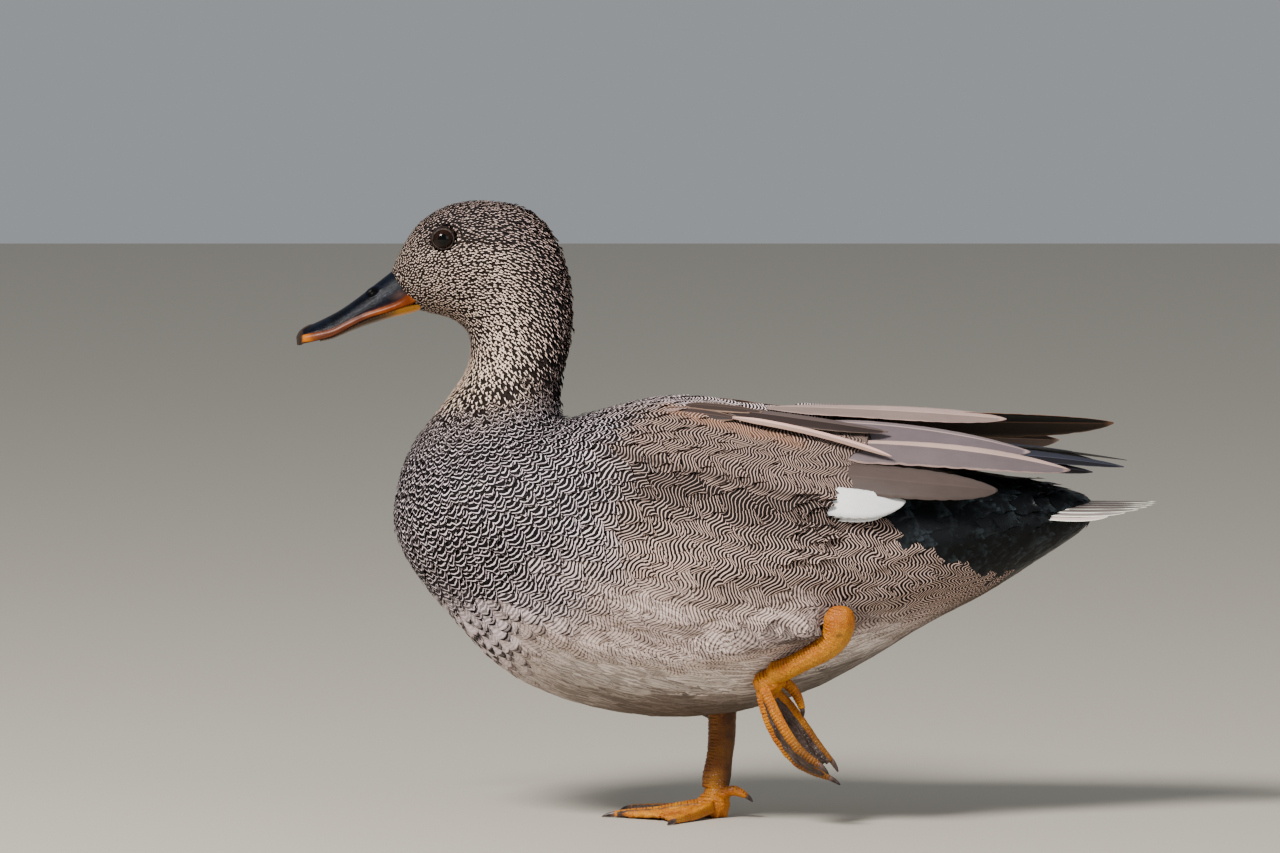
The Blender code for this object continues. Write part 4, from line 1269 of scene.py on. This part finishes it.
# Eyes. A wet, almost black brown globe with a clear bulge over the iris, set in a thin rim of bare
# lid that narrows to a point at the front and back corners.
EYE_RADIUS = 5.2
iris = Paint("dark_brown_eye", 0.05, Specular_IOR_Level=0.22)
spot_x, _, spot_z = iris.apart(iris.place())
eye_x = spot_x / MM - float(EYE[0])
eye_z = spot_z / MM - float(EYE[2])
reach = (eye_x * eye_x + eye_z * eye_z) ** 0.5
rays = iris.noise(iris.vector(eye_x / (reach + 0.1), eye_z / (reach + 0.1), reach * 0.1), 4, 3)
brown = iris.mix(rays.step(0.3, 0.7), (0.005, 0.002, 0.0012), (0.016, 0.006, 0.003))
iris.colour(iris.mix(reach.step(2.0, 2.3), (0.0006, 0.0005, 0.0006), brown))
lid_skin = Paint("lid_skin", 0.6, Specular_IOR_Level=0.2)
grain = lid_skin.noise(lid_skin.place(), 1100, 2)
lid_skin.colour(lid_skin.mix(grain.step(0.35, 0.62), tone(34, 27, 25), tone(108, 93, 84)))
lid_skin.bump(grain, 0.12, 0.8)

# The lid's section round the globe: degrees from the eye's axis and distance from its centre.
LID = [(46.0, 5.32), (46.6, 5.44), (48.6, 5.52), (51.6, 5.44), (58.0, 5.24), (70.0, 5.0),
       (70.0, 4.6), (47.5, 4.9)]
turns = np.linspace(0, 2 * math.pi, 72, endpoint=False)
corner = np.abs(np.cos(turns - 0.12)) ** 4
for label, side in (("left", -1), ("right", 1)):
    centre = EYE * np.array([1, side, 1])
    bpy.ops.object.select_all(action="DESELECT")
    bpy.ops.mesh.primitive_uv_sphere_add(segments=48, ring_count=32, radius=1)
    globe = bpy.context.active_object
    globe.name = "eyeball_" + label
    ball = read(globe.data.vertices, "co", 3)[:, [0, 2, 1]].astype(float) * (1, side, 1)
    bulge = 1 + 0.055 * blend(ball[:, 1] * side, 0.74, 1.0)
    move_to(globe, ball * EYE_RADIUS * bulge[:, None] + centre)
    for face in globe.data.polygons:
        face.use_smooth = True
    tidy_shell(globe)
    dress(globe, iris.material, "dark_brown_eye", "eye_" + label)

    rings = []
    for polar, radius in LID:
        angle = np.radians(polar + (4.0 * corner - 0.8) * (1 if polar < 60 else 0.3))
        lean = (np.sin(angle) * np.cos(turns), side * np.cos(angle), np.sin(angle) * np.sin(turns))
        rings.append(centre + np.stack(lean, 1) * radius)
    faces = band_faces(len(rings), len(turns), closed=True)
    lid = mesh_of("lid_" + label, np.concatenate(rings), faces)
    tidy_shell(lid)
    dress(lid, lid_skin.material, "speckled_head_feathers")

# Legs and feet. Bright orange scaly skin over bone, with cross scutes down the front of the shank
# and the tops of the toes, net-like scales elsewhere, and dark soft webs between the three toes.
# Each limb is a list of centres and radii, from the body outwards.
SHANKS = {
    "left": [
        (45.2, -54.7, 91.0, 6.2), (44.4, -54.3, 84.0, 7.2), (43.2, -53.2, 77.8, 6.8),
        (38.6, -51.0, 72.4, 6.0), (31.4, -47.5, 68.0, 5.4), (25.0, -44.0, 64.4, 5.2),
        (18.8, -40.4, 61.4, 5.8), (16.2, -37.6, 57.6, 7.4),
    ],
    "right": [
        (-1.9, 8.0, 50.0, 6.0), (-2.0, 6.8, 34.0, 5.2), (-2.6, 5.6, 26.0, 4.9),
        (-3.8, 4.4, 18.0, 5.7), (-4.6, 3.6, 11.6, 6.0), (-5.0, 3.2, 5.4, 7.2),
    ],
}
TOE_NAMES = ("inner", "middle", "outer", "hind")
TOES = {
    "left": [
        [(17.6, -33.4, 55.2, 2.4), (23.4, -30.4, 49.6, 2.2), (29.4, -28.6, 41.4, 2.0),
         (35.6, -28.0, 32.6, 1.8), (41.6, -28.0, 25.4, 1.4)],
        [(13.6, -37.4, 54.0, 2.6), (15.4, -37.4, 45.4, 2.4), (19.8, -37.4, 35.4, 2.2),
         (28.6, -37.0, 24.6, 1.9), (40.6, -36.6, 19.4, 1.4)],
        [(14.8, -41.8, 55.0, 2.4), (18.4, -44.2, 47.4, 2.2), (22.8, -45.8, 39.2, 2.1),
         (28.8, -46.4, 31.2, 1.8), (36.6, -46.4, 25.4, 1.4)],
        [(17.6, -36.6, 58.0, 2.0), (23.4, -34.4, 57.0, 2.3), (27.6, -33.6, 52.2, 2.1),
         (29.8, -33.2, 46.6, 1.4)],
    ],
    "right": [
        [(-5.4, -2.0, 4.6, 2.7), (-9.6, -8.4, 3.2, 2.4), (-13.8, -15.0, 2.0, 2.1),
         (-17.8, -21.4, 1.6, 1.8), (-21.4, -27.4, 1.2, 1.4)],
        [(-8.0, 2.4, 5.2, 2.9), (-18.0, 2.2, 3.9, 2.6), (-28.0, 2.1, 2.2, 2.2),
         (-38.0, 2.2, 1.7, 1.9), (-45.2, 2.6, 1.2, 1.4)],
        [(-6.6, 7.2, 4.6, 2.7), (-14.6, 13.4, 3.2, 2.4), (-22.8, 19.4, 2.0, 2.1),
         (-31.0, 25.0, 1.6, 1.8), (-38.4, 30.0, 1.2, 1.4)],
        [(-3.6, 2.0, 7.4, 1.9), (0.4, 0.0, 10.4, 2.1), (4.4, -1.4, 10.6, 2.0),
         (8.0, -2.2, 8.8, 1.3)],
    ],
}


def beside_limb(points, limb):
    """How far each point lies outside a tapered limb, the run along it and the way it points."""
    limb = np.array(limb)
    start, way = limb[:-1], np.diff(limb, axis=0)
    size = np.linalg.norm(way[:, :3], axis=1)
    share = ((points[:, None] - start[None, :, :3]) * way[:, :3]).sum(2) / size**2
    share = np.clip(share, 0, 1)
    centre = start[None, :, :3] + share[..., None] * way[:, :3]
    gap = np.linalg.norm(points[:, None] - centre, axis=2) - start[:, 3] - share * way[:, 3]
    best = gap.argmin(1)
    every = np.arange(len(points))
    before = np.concatenate([[0], np.cumsum(size)])[best]
    run = before + share[every, best] * size[best]
    return gap[every, best], run, way[best, :3] / size[best][:, None]


scales = Paint("orange_leg_skin", 0.40, Specular_IOR_Level=0.36)
web, scute, brown = scales.channels("marks")
pale, _, _ = scales.channels("more")
place = scales.place()
soft = scales.noise(place, 130, 3)
fine = scales.noise(place, 800, 3)
cell_sockets = {"Vector": place, "Scale": 1150.0}
cells = scales.node("TexVoronoi", cell_sockets, feature="DISTANCE_TO_EDGE")
net = Shade(scales, cells.outputs["Distance"])
seams = 1 - net.step(0.02, 0.12)
orange = scales.over(
    scales.mix(soft.step(0.3, 0.72), (0.46, 0.125, 0.0003), (0.64, 0.245, 0.0005)),
    (pale * 0.6, (0.64, 0.30, 0.02)),
    ((fine - 0.5).step(0.04, 0.2) * 0.45, (0.19, 0.036, 0.0004)),
    (seams * 0.42 * scute, (0.16, 0.032, 0.0004)),
    ((1 - scute.step(0.1, 0.85)) * 0.9, (0.13, 0.028, 0.0004)),
)
# painted shade: a darker brown skin for the parts of the legs that lie in shade
painted_shade_brown = scales.over(
    scales.mix(soft.step(0.3, 0.7), (0.075, 0.024, 0.004), (0.19, 0.072, 0.008)),
    (seams * 0.5, (0.04, 0.014, 0.004)),
)
membrane = scales.over(
    scales.mix(soft.step(0.3, 0.7), (0.030, 0.017, 0.012), (0.105, 0.066, 0.052)),
    (fine.step(0.5, 0.75) * 0.5, (0.14, 0.10, 0.09)),
)
on_web = (web + (fine - 0.5) * 0.3).step(0.38, 0.62)
# painted shade: the brown mark lays the darker brown skin where the legs lie in shade
scales.colour(scales.over(orange, (brown, painted_shade_brown), (on_web, membrane)))
scales.bump(net.least(0.2) * 2.6 + fine * 0.5, 0.24, 0.9)

# The way the scutes of the shank and of the toes face.
SHANK_FRONT = {"left": (-0.75, 0, 0.65), "right": (-1.0, 0, 0.25)}
TOE_TOP = {"left": (-0.8, -0.35, 0.1), "right": (0.0, 0.0, 1.0)}
SCUTE_PITCH = 1.3
for label in ("left", "right"):
    planted = label == "right"
    shank = np.array(SHANKS[label])[:, :3]
    knuckle = shank[-1]
    links = [(knuckle, shank[-2], 3.9, 3.9)]
    if planted:
        links.append((shank[2], shank[0] + (0.2, 0.8, 4), 2.2, 5.1))
    cones = []
    for start, end, low, high in links:
        run = end - start
        bpy.ops.mesh.primitive_cone_add(
            vertices=24, radius1=low * MM, radius2=high * MM, depth=(np.linalg.norm(run) + 4) * MM,
            location=((start + end) / 2 * MM).tolist(),
            rotation=Vector(run.tolist()).to_track_quat("Z", "Y").to_euler(),
        )
        cones.append(bpy.context.active_object)
        select_only(cones[-1])
        bpy.ops.object.transform_apply(location=True, rotation=True, scale=True)
    nodes = ["tarsus_" + label, "foot_" + label]
    leg = fused("leg_" + label, nodes, voxel=0.36, passes=6, extra=cones)
    points, normals = points_of(leg), normals_of(leg)
    x, y, z = points.T
    past, run, way = beside_limb(points, SHANKS[label])
    facing = blend(normals @ unit(np.array(SHANK_FRONT[label])), 0.05, 0.55)
    toe_past = np.full(len(points), FAR)
    for number, toe in enumerate(TOES[label]):
        gap, reach, line = beside_limb(points, toe)
        nearer = gap < toe_past
        toe_past = np.where(nearer, gap, toe_past)
        ours = nearer & (gap < past)
        up = unit(np.cross(np.cross(line, TOE_TOP[label]), line))
        facing = np.where(ours, blend((normals * up).sum(1), -0.3, 0.4), facing)
        run = np.where(ours, reach + 0.3 * number, run)
    web = blend(np.minimum(toe_past, past), 0.25, 0.6)
    tooth = np.abs(np.mod(run / SCUTE_PITCH, 1.0) - 0.5) * 2
    groove = blend(tooth, 0.62, 0.98) * facing * (1 - web)
    away = np.linalg.norm(points - knuckle, axis=1)
    fold = fade(away, 5.2, 7.5) * blend(away, 0, 3)
    rough = drift(points, 0.8)
    lift = -0.38 * groove + 0.06 * rough + fold * 0.16 * np.sin(run * 5.2 + 2 * rough)
    if planted:
        lift = lift + 0.9 * blend(z, 10, 18) + 0.5 * blend(z, 18, 30) * fade(z, 30, 42)
        lift = lift + 0.8 * bump_at(z, 9, 2.6) * (past < toe_past)
    wrinkles = 0.34 * np.sin(toe_past * 2.4 + 2.5 * drift(points, 3.0)) + 0.15 * rough
    moved = points + normals * (lift + web * wrinkles)[:, None]
    moved[:, 2] = np.maximum(moved[:, 2], 0.0)
    move_to(leg, moved)
    # painted shade: the brown mark covers the standing shank above the foot, under the belly, and
    # on the raised leg the toes' lower ends and a thin band at the hock under the thigh feathers
    mottle = drift(points, 6.0, 1.0)
    if planted:
        brown = blend(z + 3 * mottle, 10, 15) * (0.72 + 0.28 * blend(x, -4, 1))
        pale = np.zeros(len(points))
        web = web * (1 - fade(y, -4, 4) * 0.7)
    else:
        brown = 0.75 * blend(x - 22, 0, 8) * blend(-z, -46, -34) * (mottle > -2)
        brown = np.maximum(brown, 0.8 * bump_at(x, 44, 2.2) * bump_at(z, 78, 1.0))
        pale = blend(-normals[:, 2], 0.1, 0.7) * (z > 58)
    set_colour(leg, "marks", web, 1 - groove, brown)
    set_colour(leg, "more", pale, pale, pale)
    dress(leg, scales.material, "orange_leg_skin", *nodes)

# Claws. Short curved horn sheaths over the end bone of each toe, blunt on the three front toes and
# small on the raised hind one, brown-black with a paler root.
claw_horn = Paint("dark_claw", 0.36, Specular_IOR_Level=0.35)
along, _ = claw_horn.uv("vane")
shade = claw_horn.noise(claw_horn.place(), 500, 3)
horn_colour = claw_horn.mix(shade.step(0.3, 0.7), (0.012, 0.008, 0.007), (0.060, 0.038, 0.032))
horn_colour = claw_horn.mix((1 - along.step(0.05, 0.55)) * 0.6, horn_colour, (0.21, 0.115, 0.085))
claw_horn.colour(horn_colour)
claw_horn.bump(shade, 0.1, 0.6)
CLAW_LENGTH = {"inner": 5.2, "middle": 5.2, "outer": 5.2, "hind": 3.224}
CLAW_DROP = 0.9
CLAW_ROOT = 0.8
t = np.linspace(0, 1, 16)
turns = np.linspace(0, 2 * math.pi, 16, endpoint=False)
radius = 1.12 * np.sqrt(np.maximum(1 - t**1.6, 0.004))
for label in ("left", "right"):
    for name, toe in zip(TOE_NAMES, TOES[label]):
        base = np.array(toe[-1][:3])
        ahead = unit(base - np.array(toe[-2][:3]))
        over = unit(np.cross(np.cross(ahead, (0.0, 0.0, 1.0)), ahead))
        side = np.cross(ahead, over)
        run = CLAW_LENGTH[name] + CLAW_ROOT
        centre = base - ahead * CLAW_ROOT + ahead * (t * run)[:, None]
        centre = centre - over * (CLAW_DROP * t**2)[:, None]
        round_it = over * np.cos(turns)[:, None] + side * np.sin(turns)[:, None] * 0.8
        rings = centre[:, None] + radius[:, None, None] * round_it[None]
        rings[..., 2] = np.maximum(rings[..., 2], 0.05)
        piece = mesh_of(f"claw_horn_{label}_{name}", rings.reshape(-1, 3), tube_faces(16, 16))
        set_uv(piece, "vane", np.stack([np.repeat(t, 16), np.tile(turns / 6.3, 16)], 1))
        tidy_shell(piece)
        dress(piece, claw_horn.material, "dark_claw", f"claw_{label}_{name}")

# Floor, light and camera. A plain pale floor and backdrop, soft studio light and a long lens at
# the bird's left side, just above its feet's level.
bpy.ops.mesh.primitive_plane_add(size=8, location=(0, 0, -0.0002))
floor = bpy.context.active_object
floor.name = "floor"
floor_paint = Paint("pale_floor", 0.8)
floor_paint.colour(tone(206, 202, 194))
floor.data.materials.append(floor_paint.material)

world = bpy.data.worlds.new("studio")
bpy.context.scene.world = world
world.use_nodes = True
sky = world.node_tree.nodes["Background"].inputs
sky["Color"].default_value = (*tone(226, 228, 232), 1)
sky["Strength"].default_value = 0.40


def set_up(name, data, place, aim):
    """A lamp or camera at a place, looking at the aim."""
    holder = new_object(name, data)
    holder.location = place
    holder.rotation_mode = "QUATERNION"
    holder.rotation_quaternion = (Vector(aim) - Vector(place)).to_track_quat("-Z", "Y")
    return holder


for name, place, size, power, colour in (
    ("key", (-1.1, -1.5, 1.9), 0.7, 130, (1.0, 0.97, 0.93)),
    ("fill", (1.6, -1.8, 0.9), 1.4, 12, (0.92, 0.96, 1.0)),
):
    light = bpy.data.lights.new(name, "AREA")
    light.size = size
    light.energy = power
    light.color = colour
    set_up(name, light, place, (0, 0, 0.13))

camera = bpy.data.cameras.new("camera")
camera.lens = 420
camera.sensor_width = 36
camera.clip_end = 100
DISTANCE = 5.97
tilt = math.radians(4)
aim = Vector((-0.0348, 0, 0.157))
back = Vector((0, -math.cos(tilt), math.sin(tilt)))
bpy.context.scene.camera = set_up("camera", camera, aim + back * DISTANCE, aim)
